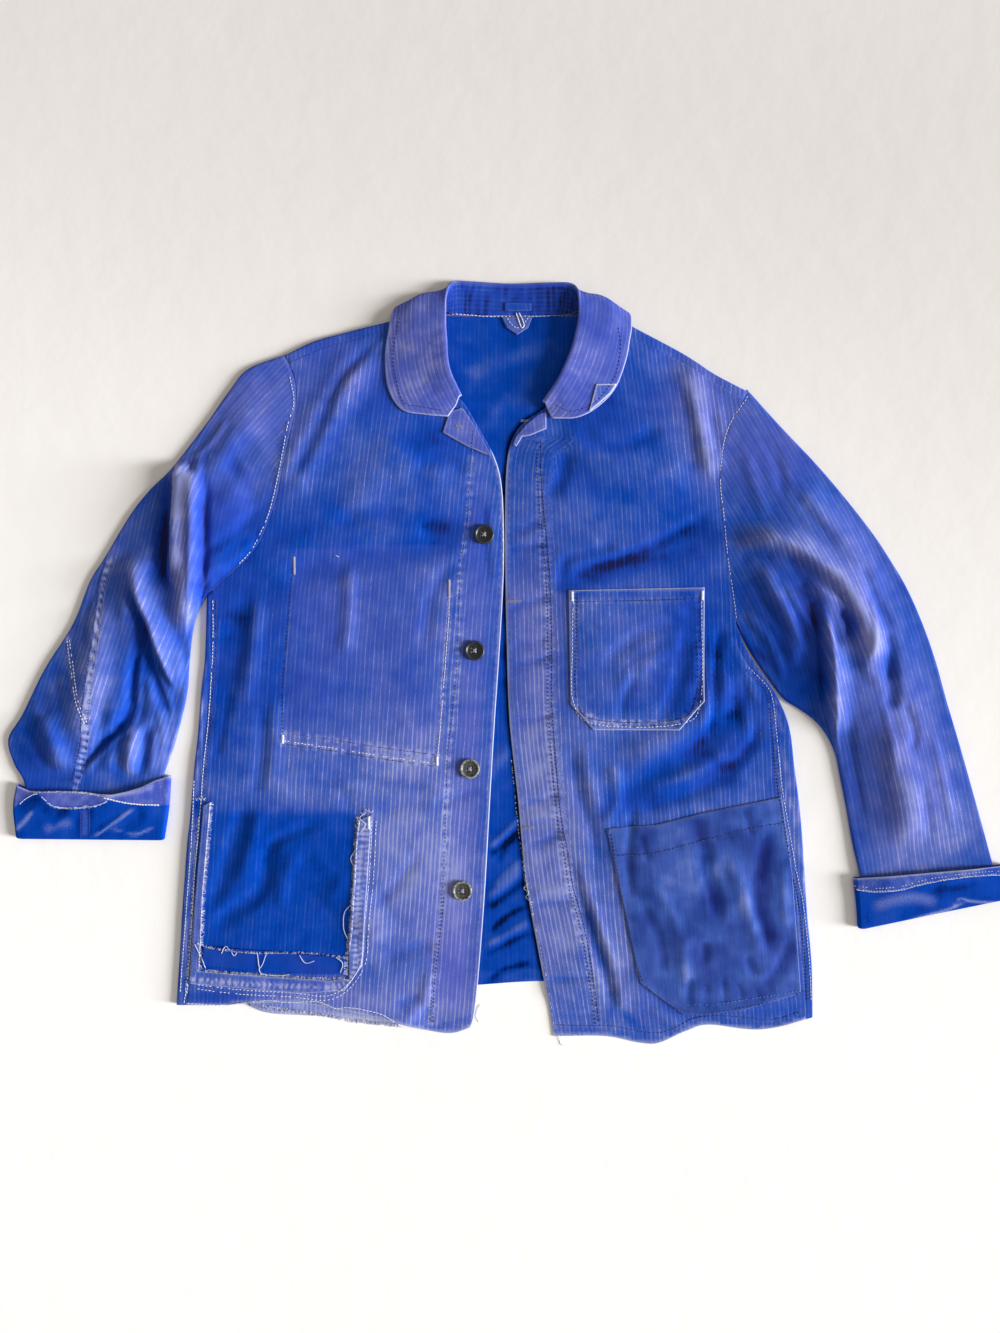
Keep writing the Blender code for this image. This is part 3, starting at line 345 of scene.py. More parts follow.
# Sewn lines: how deep they pull in, the pitch of the puckers beside them and how pale those are worn
BAND_LINE_L = seam(0.45, 6.5, 1.0, (474, 430), (470, 480), (468, 523), (461, 567), (459.5, 610), (458, 654),
                   (455, 697), (449, 751), (447, 788), (446, 821), (445, 863), (443, 889), (440, 926),
                   (436, 954), (433, 982), (431, 1024))
GHOST_LEFT = seam(0.35, 7, 0.12, (294, 558), (290.6, 601), (287.4, 643), (284, 686), (283, 741))
GHOST_BOTTOM = seam(0.55, 10.5, 0.9, (283, 742), (330, 749), (380, 757), (437, 765))
GHOST_HEM = seam(0.30, 10.5, 0.9, (285, 733), (335, 740), (385, 748), (437, 755))
GHOST_RIGHT = seam(0.55, 8, 0.85, (449, 584), (449, 610), (446, 654), (441, 719), (437, 765))
SIDE_LINE_L = seam(0.5, 6, 0.5, (213, 600), (213, 640), (211, 676), (208, 719), (204, 762), (201, 800),
                   (198, 839), (194, 880), (191.5, 923), (190, 950), (187, 985), (184, 1003))
LEFT_SEAMS = [BAND_LINE_L, GHOST_LEFT, GHOST_BOTTOM, GHOST_HEM, GHOST_RIGHT, SIDE_LINE_L]
BAND_LINE_R = seam(0.5, 7.5, 0.4, (541, 441), (542, 488), (547, 540), (551, 597), (552, 662), (552, 699),
                   (556, 760), (561, 815), (568, 852), (573, 886), (581, 914), (588, 945), (594, 982),
                   (600, 1026))
BAND_INNER_R = seam(0.25, 7.5, 0.8, (537, 470), (541, 540), (546, 597), (547, 662), (547, 699), (550, 760),
                    (555, 815), (562, 852), (567, 886), (575, 914), (582, 945))
SIDE_LINE_R = seam(0.6, 6, 0.4, (748, 667), (765, 684), (772, 697), (776, 730), (782, 788), (788, 824),
                   (796, 870), (803, 904), (809, 960), (811, 1000))
HEM_LINE_R = seam(0.4, 9, 0.25, (556, 1026), (590, 1027), (612, 1027), (649, 1034), (668, 1032), (700, 1018),
                  (740, 1017), (770, 1020), (800, 1012))
RIGHT_SEAMS = [BAND_LINE_R, BAND_INNER_R, SIDE_LINE_R, HEM_LINE_R]
EDGE_SEAMS = [
    seam(0.3, 6, 0.5, (204, 620), (203, 680), (199, 740), (196, 790), (193, 834), (189, 887), (186, 941),
         (181, 994)),
    seam(0.3, 6, 0.5, (756, 668), (774, 690), (781, 730), (788, 780), (795, 824), (803, 870), (809, 910),
         (816, 970)),
]
CHEST_SEAMS = [
    seam(0.3, 8, 0.45, (572, 602), (640, 601), (700, 599)),
    seam(0.35, 6, 0.45, (576, 594), (575, 650), (577, 700), (597, 721), (676, 721), (696, 697), (698, 594)),
    seam(0.2, 6.5, 1.3, (590, 715), (600, 722), (640, 722), (676, 722), (688, 712)),
]
LOWER_SEAMS = [
    seam(0.35, 12, 0.05, (613, 856), (649, 850), (697, 840), (744, 829), (770, 823), (786, 822)),
    seam(0.4, 7, 0.10, (612, 831), (618, 870), (630, 921), (647, 978), (688, 1008), (715, 1006), (742, 1002),
         (768, 998), (794, 991), (805, 985)),
]
REMNANT_SEAMS = [
    seam(0.45, 6, 1.6, (194, 979), (236, 982), (290, 985), (336, 986), (354, 972), (356, 930), (359, 880),
         (364, 825)),
    seam(0.35, 6, 0.9, (193, 985), (236, 990), (332, 993), (360, 972), (361, 958), (361, 905), (367, 869),
         (368, 816)),
]
SLEEVE_L_SEAMS = [
    seam(1.3, 7.5, 1.5, (110, 562), (103, 588), (101, 627), (96, 670), (91.5, 712), (89, 740), (82, 765),
         (76, 788)),
    seam(0.5, 6.5, 0.7, (67, 640), (72, 665), (80, 700), (90, 725)),
]

# Finer folds and creases than the solids', as (height, width on the left, on the right, pixels)
LEFT_FOLDS = [
    crease(-3.2, 10, 13, (384, 341), (352, 368), (336, 393), (321, 424), (308, 451), (293, 478), (286, 492)),
    crease(1.7, 7, 5, (391, 335), (367, 358), (344, 387), (330, 414)),
    crease(-1.9, 12, 12, (412, 470), (440, 460), (470, 470)),
    crease(1.7, 16, 16, (392, 480), (420, 470), (450, 482)),
    crease(-2.3, 14, 16, (330, 524), (372, 512), (420, 520), (455, 522)),
    crease(-2.3, 12, 12, (420, 533), (436, 525), (452, 530)),
    crease(-2.2, 11, 14, (246, 600), (240, 650), (225, 700), (216, 720)),
    crease(1.9, 12, 12, (258, 590), (254, 650), (244, 710)),
    crease(-1.7, 8, 8, (232, 690), (222, 730), (215, 760)),
    crease(-1.4, 10, 10, (262, 700), (262, 750), (256, 800)),
    crease(1.4, 12, 10, (276, 690), (274, 750), (270, 795)),
    crease(-1.4, 8, 10, (310, 768), (350, 776), (400, 784), (440, 790)),
    crease(-1.6, 7, 9, (433, 804), (462, 797), (486, 790)),
    crease(-2.2, 9, 10, (244, 806), (234, 834), (219, 880)),
    crease(1.7, 11, 12, (262, 806), (250, 850), (240, 890)),
    crease(-2.6, 9, 10, (330, 822), (284, 836), (267, 852), (265, 880), (256, 898), (232, 909), (212, 926)),
    crease(1.9, 12, 12, (300, 850), (284, 880), (282, 910)),
    crease(-1.2, 9, 12, (372, 812), (400, 806), (430, 800)),
    crease(-1.7, 12, 12, (380, 960), (410, 950), (436, 944)),
    crease(-1.3, 10, 12, (374, 905), (396, 884), (420, 850)),
    crease(-1.7, 9, 9, (395, 1008), (412, 1000), (426, 1006)),
    crease(2.0, 9, 9, (404, 1024), (424, 1000), (430, 970)),
    crease(-1.3, 5, 5, (426, 1004), (428, 1018), (429, 1033)),
    crease(-2.0, 3, 5, (429, 1032), (450, 1024), (472, 1019)),
    crease(2.2, 10, 12, (350, 560), (350, 610), (345, 660)),
    crease(-1.4, 12, 12, (452, 560), (430, 600), (424, 650)),
    crease(-1.4, 9, 9, (300, 780), (340, 790), (352, 812)),
    crease(-1.3, 5, 5, (484, 500), (486, 540), (488, 580)),
    crease(1.2, 5, 5, (489, 500), (493, 540), (494, 590)),
]
RIGHT_FOLDS = [
    crease(-3.2, 9, 11, (562, 578), (600, 566), (644, 549), (680, 532), (714, 516)),
    crease(2.0, 16, 12, (560, 560), (610, 556), (660, 546), (704, 536)),
    crease(-1.5, 9, 12, (548, 590), (570, 582), (600, 574)),
    crease(-2.2, 8, 10, (560, 590), (566, 560), (590, 552), (620, 545)),
    crease(1.5, 5, 6, (688, 380), (698, 420), (706, 460), (716, 490)),
    crease(-1.7, 7, 8, (680, 385), (690, 425), (698, 470)),
    crease(-1.5, 6, 8, (708, 410), (716, 440), (722, 462)),
    crease(1.5, 6, 6, (716, 400), (722, 425), (728, 440)),
    crease(-2.0, 14, 14, (576, 420), (600, 446), (640, 440), (660, 424)),
    crease(-2.1, 12, 12, (548, 500), (560, 480), (570, 450)),
    crease(-2.0, 6, 7, (510, 530), (526, 526), (544, 520)),
    crease(-2.0, 5, 6, (508, 552), (524, 548), (546, 545)),
    crease(1.2, 7, 7, (508, 541), (526, 537), (546, 533)),
    crease(-2.9, 5, 6, (509, 608), (526, 604), (550, 597)),
    crease(-1.2, 5, 6, (512, 642), (530, 644), (550, 640)),
    crease(-2.7, 5, 6, (516, 664), (532, 662), (554, 658)),
    crease(-1.8, 6, 6, (514, 722), (534, 720), (554, 716)),
    crease(-2.9, 5, 6, (522, 803), (540, 801), (560, 796)),
    crease(-2.9, 5, 6, (526, 847), (544, 841), (564, 833)),
    crease(1.2, 7, 7, (524, 818), (542, 815), (562, 812)),
    crease(-2.2, 5, 7, (532, 906), (552, 904), (578, 900)),
    crease(1.4, 7, 7, (532, 893), (552, 890), (574, 886)),
    crease(-2.0, 5, 7, (546, 981), (568, 979), (594, 977)),
    crease(-1.5, 5, 5, (552, 1017), (572, 1018), (598, 1016)),
    crease(-3.0, 7, 8, (585, 900), (592, 930), (602, 960), (612, 1002), (609, 1030)),
    crease(2.4, 9, 7, (576, 850), (586, 890), (604, 940), (618, 990), (630, 1024)),
    crease(-2.1, 8, 8, (634, 800), (628, 860), (632, 900)),
    crease(-3.0, 12, 12, (634, 808), (662, 802), (690, 793), (716, 782), (742, 772)),
    crease(2.4, 12, 9, (640, 790), (672, 780), (704, 766), (730, 748)),
    crease(-2.7, 10, 10, (700, 754), (726, 767), (748, 750), (759, 720)),
    crease(2.7, 9, 7, (730, 633), (742, 658), (752, 688), (757, 706)),
    crease(-2.7, 8, 8, (722, 620), (716, 660), (714, 710), (708, 740)),
    crease(1.8, 9, 9, (712, 640), (706, 700), (700, 740)),
    crease(-1.8, 6, 6, (728, 660), (736, 700), (738, 730)),
    crease(1.5, 7, 7, (744, 700), (748, 730), (750, 745)),
    crease(2.1, 10, 10, (612, 760), (618, 800), (600, 828)),
    crease(-1.8, 8, 9, (570, 740), (578, 790), (592, 830), (600, 870)),
    crease(1.5, 9, 9, (584, 740), (590, 780), (600, 815)),
    crease(-2.4, 8, 10, (620, 1010), (640, 1030), (652, 1040)),
    crease(2.1, 10, 8, (650, 1008), (676, 1026), (700, 1030)),
]
CHEST_FOLDS = [
    crease(-1.9, 12, 12, (600, 668), (630, 640), (660, 626), (690, 620)),
    crease(1.6, 12, 12, (610, 690), (650, 660), (684, 640)),
    crease(-3.0, 10, 10, (692, 600), (684, 650), (670, 700), (655, 725)),
    crease(1.4, 10, 10, (700, 640), (690, 690), (680, 716)),
    crease(-1.4, 8, 8, (640, 660), (624, 700), (620, 725)),
]
LOWER_FOLDS = [
    crease(-2.4, 10, 12, (698, 815), (700, 832), (708, 850)),
    crease(-3.0, 10, 12, (708, 838), (706, 868), (715, 895), (719, 924)),
    crease(2.2, 12, 14, (728, 850), (744, 895), (756, 932), (762, 960)),
    crease(-4.1, 12, 16, (776, 824), (766, 858), (760, 895), (764, 922), (778, 956)),
    crease(2.2, 10, 10, (786, 860), (784, 900), (788, 930)),
    crease(-2.7, 10, 10, (795, 938), (778, 971), (762, 990)),
    crease(-2.2, 8, 8, (704, 940), (704, 952), (704, 964)),
    crease(-2.0, 8, 8, (744, 955), (751, 966), (756, 976)),
    crease(1.6, 10, 10, (690, 930), (684, 960), (688, 985)),
    crease(-1.6, 5, 5, (690, 975), (689, 992), (690, 1010)),
    crease(-1.4, 4, 4, (706, 980), (706, 995), (706, 1010)),
    crease(-1.6, 5, 5, (722, 975), (724, 990), (726, 1006)),
    crease(-1.4, 4, 4, (738, 980), (741, 992), (744, 1004)),
    crease(-1.4, 4, 4, (756, 985), (759, 994), (762, 1002)),
    crease(-1.4, 8, 10, (640, 900), (660, 940), (664, 975)),
    crease(1.2, 10, 10, (650, 880), (676, 920), (680, 960)),
    crease(-1.4, 5, 5, (640, 832), (644, 846), (650, 862)),
    crease(-1.4, 5, 5, (744, 808), (748, 822), (752, 836)),
]
SLEEVE_L_FOLDS = [
    crease(-6.4, 4.5, 10, (168.5, 464), (167.5, 500), (167, 530), (166, 571), (172, 586), (184, 594)),
    crease(9.0, 15, 3.2, (177.5, 446), (176.5, 480), (176, 520), (175.5, 582)),
    crease(9.0, 3.2, 8.5, (200, 448), (200.5, 480), (200.5, 543), (198.5, 600), (195, 650)),
    crease(-3.5, 8, 3.0, (206.5, 474), (206, 540), (203, 612)),
    crease(3.0, 6, 4, (137, 575), (142, 595), (151, 618), (158, 638), (166, 662), (176, 690)),
    crease(-5.0, 6, 10, (130, 580), (136, 604), (146, 628), (150, 652), (160, 690), (170, 720)),
    crease(3.4, 6, 3.0, (152, 627), (146, 650), (141, 675), (138, 712), (130, 729), (116, 740), (94, 763),
           (76, 789)),
    crease(-4.2, 3.0, 8, (146, 628), (140, 650), (135, 675), (131, 708), (122, 728), (104, 745), (86, 767),
           (72, 786)),
    crease(-1.9, 6, 6, (122, 742), (120, 764), (117, 790)),
    crease(2.2, 7, 7, (133, 736), (131, 765), (128, 790)),
    crease(-2.8, 6, 6, (145, 725), (142, 760), (139, 786)),
    crease(2.2, 8, 7, (156, 728), (153, 760), (150, 782)),
    crease(1.9, 10, 10, (120, 560), (128, 590), (124, 630)),
    crease(-2.0, 8, 9, (86, 590), (88, 620), (86, 650)),
    crease(-2.2, 10, 10, (202, 559), (227, 539), (251, 519), (270, 506)),
    crease(2.0, 10, 10, (212, 575), (236, 556), (256, 540)),
    crease(-1.8, 12, 12, (228, 452), (240, 480), (262, 500)),
    crease(1.5, 5, 6, (190, 459), (207, 448), (218, 434), (228, 418)),
    crease(-1.8, 9, 9, (170, 640), (176, 680), (180, 720), (178, 760)),
    crease(1.8, 8, 8, (160, 700), (164, 740), (160, 780)),
    crease(-2.2, 9, 9, (150, 720), (146, 755), (136, 782)),
    crease(-2.0, 10, 10, (20, 720), (40, 752), (60, 780)),
    crease(1.9, 10, 12, (24, 690), (52, 730), (70, 770)),
    crease(-1.6, 8, 8, (104, 700), (102, 740), (94, 780)),
    crease(1.6, 8, 8, (116, 690), (114, 740), (108, 782)),
    crease(-1.5, 7, 8, (50, 640), (56, 680), (62, 710)),
]
SLEEVE_R_FOLDS = [
    crease(2.1, 6, 7, (740, 543), (764, 539), (782, 544), (802, 556), (818, 568), (836, 578), (850, 592)),
    crease(-2.3, 9, 8, (786, 556), (796, 574), (806, 588)),
    crease(2.6, 6, 6, (762, 570), (782, 584), (796, 608), (812, 634), (820, 660)),
    crease(-2.3, 9, 9, (752, 590), (772, 612), (790, 640), (806, 672)),
    crease(2.1, 8, 8, (744, 612), (764, 634), (776, 658), (784, 684)),
    crease(-2.1, 8, 8, (738, 560), (754, 556), (774, 560)),
    crease(3.1, 4, 6, (810, 591), (823, 594), (838, 605), (850, 620)),
    crease(-5.9, 8, 8, (812, 604), (818, 640), (822, 680), (825, 715)),
    crease(3.1, 6, 5, (822, 608), (827, 645), (831, 690), (834, 730), (840, 770)),
    crease(-3.9, 9, 9, (836, 610), (848, 622), (846, 640)),
    crease(2.6, 6, 6, (866, 596), (870, 622), (867, 662)),
    crease(-3.1, 10, 9, (882, 630), (890, 656), (889, 684)),
    crease(-2.1, 9, 9, (858, 560), (872, 600), (892, 632)),
    crease(2.1, 10, 10, (850, 640), (864, 668), (880, 690)),
    crease(-2.1, 8, 10, (900, 700), (912, 730), (908, 756)),
    crease(1.6, 8, 8, (880, 700), (888, 740), (890, 780)),
    crease(-1.7, 9, 9, (846, 700), (852, 760), (862, 820)),
    crease(1.6, 9, 9, (930, 730), (944, 790), (954, 840)),
    crease(-1.6, 9, 9, (916, 780), (926, 820), (930, 855)),
    crease(-1.8, 9, 9, (760, 430), (776, 460), (784, 500)),
    crease(1.6, 10, 10, (744, 450), (756, 490), (766, 520)),
    crease(-1.6, 8, 8, (790, 490), (812, 520), (836, 548)),
    crease(-1.7, 8, 8, (736, 640), (752, 664), (768, 690)),
]
# The left cuff's wavy upper edge, and the lines where the cuffs' hems end
CUFF_EDGE_L = px((10, 782), (17, 784), (24, 790), (37, 791), (62, 790.5), (82, 791), (94, 792.5), (105, 794),
                 (118, 794), (133, 790), (146, 786), (156, 780.5), (163, 777), (172, 776))
CUFF_HEM_L = px((10, 812), (20, 804), (30, 796.5), (40, 793), (48, 799), (55, 805), (62, 806.5), (76, 807),
                (87, 805), (97, 805), (111, 800), (123, 801.5), (140, 804), (163, 805), (175, 805))
CUFF_HEM_R = px((850, 889), (857, 889.4), (872.7, 890.9), (889.5, 889.9), (900.4, 888.4), (914.2, 884.4),
                (929, 881), (943.9, 878.5), (958.7, 876.5), (978.5, 874.5), (1010, 874))
CUFF_FOLDS = [
    crease(2.0, 3.5, 2, (888, 929), (909, 920.5), (929, 914), (944, 910), (954, 906), (967, 899)),
    crease(1.8, 3, 2.5, (960, 899), (976.5, 901.2), (1003, 902.5)),
    crease(1.5, 2, 2, (953, 908), (955.5, 900), (960, 897.5), (967, 900)),
    crease(1.1, 9, 12, (868, 908), (890, 899), (915, 896), (940, 903)),
    crease(-1.0, 6, 6, (930, 888), (955, 886), (978, 880)),
    crease(0.7, 5, 5, (86.5, 806), (86.5, 820), (86, 838)),
    crease(-0.9, 2.5, 2.5, (80.5, 808), (80.5, 820), (80, 838)),
    crease(-0.9, 2.5, 2.5, (92.5, 808), (92.5, 820), (92, 838)),
    crease(1.8, 4, 2.5, (93, 838), (109.6, 826.7), (123, 817), (138, 806.5)),
    crease(-1.5, 3, 6, (96, 832), (108, 822), (122, 812)),
    crease(-1.2, 8, 8, (112, 840), (128, 830), (150, 812)),
    crease(1.5, 2.5, 3, (111, 827), (124, 831), (136.4, 834), (147, 830), (157, 826)),
    crease(1.6, 5, 4, (16, 831), (28, 819), (35, 808)), crease(-1.9, 7, 7, (24, 812), (38, 802), (50, 812)),
    crease(-1.3, 6, 6, (52, 826), (62, 815), (72, 808)), crease(0.9, 8, 8, (44, 832), (58, 824), (76, 822)),
    crease(1.3, 5, 5, (100, 797), (124, 793), (148, 788), (160, 782)),
]
BACK_FOLDS = [
    crease(0.9, 5, 9, (486, 850), (506, 832), (522, 815)),
    crease(-0.9, 9, 5, (488, 858), (510, 840), (524, 826)),
    crease(0.9, 6, 12, (484, 900), (504, 884), (524, 864)),
    crease(-0.8, 10, 6, (486, 912), (508, 896), (528, 880)),
    crease(0.9, 6, 12, (482, 948), (508, 934), (532, 920)),
    crease(-0.8, 10, 6, (482, 958), (508, 944), (534, 932)),
    crease(0.7, 12, 12, (484, 780), (500, 760), (512, 745)),
    crease(-0.8, 6, 6, (497, 866), (506, 848), (518, 836)),
    crease(0.8, 5, 7, (492, 888), (508, 872), (524, 858)),
    crease(-0.8, 6, 6, (488, 936), (506, 918), (530, 906)),
    crease(-0.8, 7, 7, (480, 990), (504, 972), (536, 962)),
    crease(0.8, 7, 7, (478, 1006), (506, 990), (540, 982)),
    crease(0.5, 14, 14, (460, 380), (500, 360), (550, 350)),
    crease(0.4, 12, 12, (480, 420), (510, 400), (540, 405)),
]

# Rows of machine stitches, by thread: each is moved to the left of its path's way, with its stitches'
# length, the gap between them and the share that is worn away
ARMHOLE_STITCHES_L = px((292, 376), (296, 402), (290, 425), (285, 452), (280, 478), (272, 510), (262, 535),
                        (252, 553), (240, 566))
ARMHOLE_STITCHES_R = px((746, 395), (725, 430), (718, 475), (722, 520), (726, 560), (732, 600), (734, 618))
SLEEVE_LINE_L = px((106, 562), (99, 588), (97, 627), (92, 670), (87, 712), (85, 740), (78, 765), (72, 786))
ELBOW_STITCHES = px((67, 640), (72, 665), (80, 700), (90, 725))
REMNANT_STITCHES = px((372, 820), (370, 869), (365, 923), (360, 966), (333, 994), (290, 992), (236, 989),
                      (194, 984))
CUFF_STITCHES = px((106, 797), (112, 798.5), (123.6, 801.5), (140, 804), (162, 805))
FADED_ROWS = [StitchRow(0.0, 2.4, 1.6, 0.10, BAND_LINE_L.path), StitchRow(7.6, 2.4, 1.2, 0.2, SLEEVE_LINE_L),
              stitched(0.0, 1.8, 2.0, 0.10, (686, 1004), (715, 1003), (742, 999), (768, 995), (794, 991),
                       (808, 989))]
WHITE_ROWS = [
    StitchRow(0.0, 2.6, 1.0, 0.03, SIDE_LINE_L.path),
    StitchRow(1.5, 2.4, 1.2, 0.30, GHOST_BOTTOM.path),
    stitched(0.0, 2.6, 1.0, 0.03, (199, 816), (194, 887), (191, 941), (187, 994)),
    stitched(0.0, 2.6, 1.0, 0.03, (194, 780), (192, 830), (188, 887), (184, 941), (180, 994)),
    stitched(0.0, 3.4, 0.4, 0.00, (186, 1003), (224, 1005), (246, 1002), (269, 1000), (290, 1002),
             (317, 1001), (336, 1008), (349, 1007), (379, 1013), (395, 1022)),
    StitchRow(0.0, 2.8, 1.0, 0.03, GHOST_RIGHT.path),
    StitchRow(-2.2, 2.2, 1.6, 0.10, ARMHOLE_STITCHES_L), StitchRow(2.2, 2.2, 1.6, 0.10, ARMHOLE_STITCHES_R),
    StitchRow(0.0, 2.4, 1.3, 0.05, SIDE_LINE_R.path),
    StitchRow(0.0, 2.4, 1.4, 0.10, ELBOW_STITCHES), StitchRow(3.0, 2.4, 1.4, 0.20, ELBOW_STITCHES),
    stitched(0.0, 2.6, 1.4, 0.03, (573, 593), (572, 650), (573, 702), (595, 724), (677, 724), (700, 699),
             (701, 594)),
    StitchRow(0.0, 2.4, 1.6, 0.08, REMNANT_STITCHES), StitchRow(4.4, 2.4, 1.6, 0.12, REMNANT_STITCHES),
    stitched(0.0, 2.6, 0.3, 0.0, (21, 804), (26, 799.5), (31, 796.5), (36, 794), (42, 793)),
    stitched(0.0, 2.0, 0.5, 0.05, (44, 795.5), (49, 800), (55, 805), (62, 806.5), (70, 807.5), (76, 806.5),
             (82, 807.5), (87, 805), (92, 806), (97, 805), (104, 803), (111, 800)),
    StitchRow(0.0, 2.8, 0.2, 0.0, CUFF_STITCHES), StitchRow(0.7, 2.8, 0.2, 0.0, CUFF_STITCHES),
    StitchRow(0.0, 2.4, 0.4, 0.0, CUFF_HEM_R), StitchRow(0.9, 1.2, 1.6, 0.2, CUFF_HEM_R),
    StitchRow(4.0, 1.3, 2.2, 0.15, CUFF_HEM_R),
    stitched(0.0, 2.2, 1.4, 0.05, (507, 318), (512, 325), (518, 328), (526, 321), (529, 316)),
    stitched(0.0, 2.6, 1.4, 0.03, (447, 313.5), (488, 316), (533, 316), (575, 315)),
]
BLUE_ROWS = [
    StitchRow(0.0, 3.4, 0.3, 0.0, SLEEVE_LINE_L),
    StitchRow(-4.2, 2.4, 1.3, 0.05, SIDE_LINE_R.path), StitchRow(3.6, 2.2, 1.4, 0.05, SIDE_LINE_L.path),
    stitched(4.6, 2.6, 1.4, 0.03, (573, 593), (572, 650), (573, 702), (595, 724), (677, 724), (700, 699),
             (701, 640)),
    stitched(0.0, 2.6, 1.4, 0.03, (573, 602), (640, 601), (701, 599)),
    StitchRow(0.0, 3.4, 0.4, 0.00, BAND_LINE_R.path), StitchRow(-4.0, 2.2, 1.9, 0.05, BAND_LINE_R.path),
    StitchRow(0.0, 2.6, 1.5, 0.02, HEM_LINE_R.path),
    stitched(0.0, 2.6, 1.8, 0.02, (613, 855), (650, 853), (690, 843), (745, 829), (787, 822)),
    stitched(0.0, 2.6, 1.5, 0.03, (611, 833), (617, 872), (627, 921), (644, 982), (689, 1012), (740, 1007),
             (780, 999), (808, 989)),
    stitched(0.0, 2.6, 1.5, 0.03, (401, 320), (394, 355), (398, 386), (405, 404), (418, 407), (442, 411)),
    stitched(0.0, 2.6, 1.5, 0.03, (617, 330), (620, 348), (617, 370), (612, 383), (596, 403), (584, 409),
             (570, 412), (553, 405)),
    stitched(-2.0, 2.6, 1.5, 0.03, (431, 1024), (433, 980), (438, 940), (443, 890)),
    StitchRow(0.0, 2.0, 1.8, 0.20, GHOST_HEM.path), StitchRow(-1.6, 2.2, 1.4, 0.10, GHOST_BOTTOM.path),
    stitched(0.0, 2.4, 1.5, 0.05, (294, 560), (290.6, 601), (287.4, 643), (284, 686), (283, 739)),
    stitched(0.0, 1.6, 1.4, 0.0, (82, 809), (82, 837)), stitched(0.0, 1.6, 1.4, 0.0, (91, 809), (91, 837)),
]
# Bars of close stitches: their ends and their width
BAR_TACKS_GREY = [(px((294, 557), (294, 574)), 2.6), (px((449, 580), (449, 597)), 2.6)]
BAR_TACKS_WHITE = [
    (px((572, 592), (572, 601)), 2.4), (px((702, 591), (702, 600)), 2.4), (px((283, 735), (283, 743)), 2.6),
    (px((437, 757), (437, 765)), 2.6), (px((369, 816), (369, 828)), 2.4),
]
BUTTONHOLES = [px((507, 601), (521, 601)), px((520, 827.5), (533, 827.5)), px((456, 426), (462, 427)),
               px((521, 420), (528, 420))]
LOOSE_THREADS = [
    px((258, 952), (260, 966), (262, 973), (276, 975), (290, 974)), px((267, 953), (263, 964), (259, 969)),
    px((232, 951), (235, 955), (238, 951)), px((195, 943), (202, 957), (206, 968)),
    px((352, 903), (345, 912), (344, 928), (349, 941)), px((559, 1037), (561, 1045), (565, 1048)),
    px((528, 884), (524, 889), (529, 893), (526, 898), (533, 903)),
    px((366, 812), (360, 818), (366, 824), (361, 832)), px((300, 954), (306, 962), (315, 960)),
    px((336, 956), (343, 962), (341, 972)), px((335, 555), (339, 557)),
    px((356, 850), (351, 858), (355, 868)), px((480, 1006), (476, 1016), (479, 1024)),
    px((222, 953), (226, 946), (231, 950)),
]
FRAYS = [
    Fray(5.0, 1.6, px((360, 818), (357, 842), (355, 887), (352, 932), (349, 950), (347, 975))),
    Fray(3.0, 1.2, px((345, 978), (308, 978), (272, 975), (236, 973), (198, 970))),
    Fray(2.4, 0.8, px((197, 943), (215, 948), (254, 952), (281, 952), (313, 953), (346, 957))[::-1]),
    Fray(4.0, 1.6, px((372, 812), (367, 811), (361, 814))),
    Fray(3.5, 1.6, px((205, 800), (202, 798), (196, 800))),
    Fray(4.5, 1.7, px((250, 1002), (270, 1007), (320, 1015), (352, 1021), (380, 1024), (398, 1026))),
    Fray(1.6, 0.6, px((224, 1006), (240, 1003), (269, 1001), (290, 1003), (317, 1002), (336, 1009))),
    Fray(2.6, 1.0, px((523, 862), (526, 884), (531, 905), (533, 918))),
    Fray(1.4, 0.4, px((511, 760), (518, 830), (523, 862))),
    Fray(1.2, 0.3, px((533, 918), (546, 978), (554, 1030))),
    Fray(2.0, 1.5, px((36, 791.5), (62, 791), (82, 791.5), (94, 793), (106, 795))[::-1]),
    Fray(2.2, 1.2, px((50, 802), (58, 806.5), (76, 807.5), (97, 805.5), (110, 800.5))),
    Fray(4.0, 1.0, px((211, 802), (207, 850), (203.5, 892), (199.5, 970))[::-1]),
    Fray(1.2, 0.5, px((197, 816), (192, 887), (189, 941), (185, 994))),
]
HANGER_LOOP = px((516, 313), (519, 322), (521.5, 328), (524, 326), (522, 319), (519, 313))
TURNED_TIP = px((596, 386), (616, 385), (610, 394), (599, 404), (589, 412))
LOOP_PATCH = px((505, 303), (531, 304), (531, 311), (505, 311))


def spline(points, count_between):
    """A smooth curve through the points, with count_between new points in each stretch."""
    p = np.asarray(points, float)
    before = np.concatenate([[2 * p[0] - p[1]], p[:-1]])
    after = np.concatenate([p[1:], [2 * p[-1] - p[-2]]])
    tangent = (after - before) / 2
    made = []
    for i in range(len(p) - 1):
        for k in range(count_between + 1):
            t = k / (count_between + 1)
            h00, h10 = 2 * t**3 - 3 * t**2 + 1, t**3 - 2 * t**2 + t
            h01, h11 = 3 * t**2 - 2 * t**3, t**3 - t**2
            made.append(h00 * p[i] + h10 * tangent[i] + h01 * p[i + 1] + h11 * tangent[i + 1])
    made.append(p[-1])
    return np.array(made)


def lengths(line):
    """How far along the line each of its points is."""
    return np.concatenate([[0], np.cumsum(np.linalg.norm(np.diff(line, axis=0), axis=1))])


def points_at(line, distances):
    """Points at distances along a line."""
    along = lengths(line)
    return np.stack([np.interp(distances, along, line[:, k]) for k in range(line.shape[1])], axis=1)


def even(line, step):
    """The line again, with its ends kept and points about step apart."""
    line = np.asarray(line, float)
    whole = lengths(line)[-1]
    return points_at(line, np.linspace(0, whole, max(1, round(whole / step)) + 1))


def curve(points, step=EDGE_STEP):
    """A smooth curve through the points, its points about step apart."""
    return even(spline(points, 7), step)


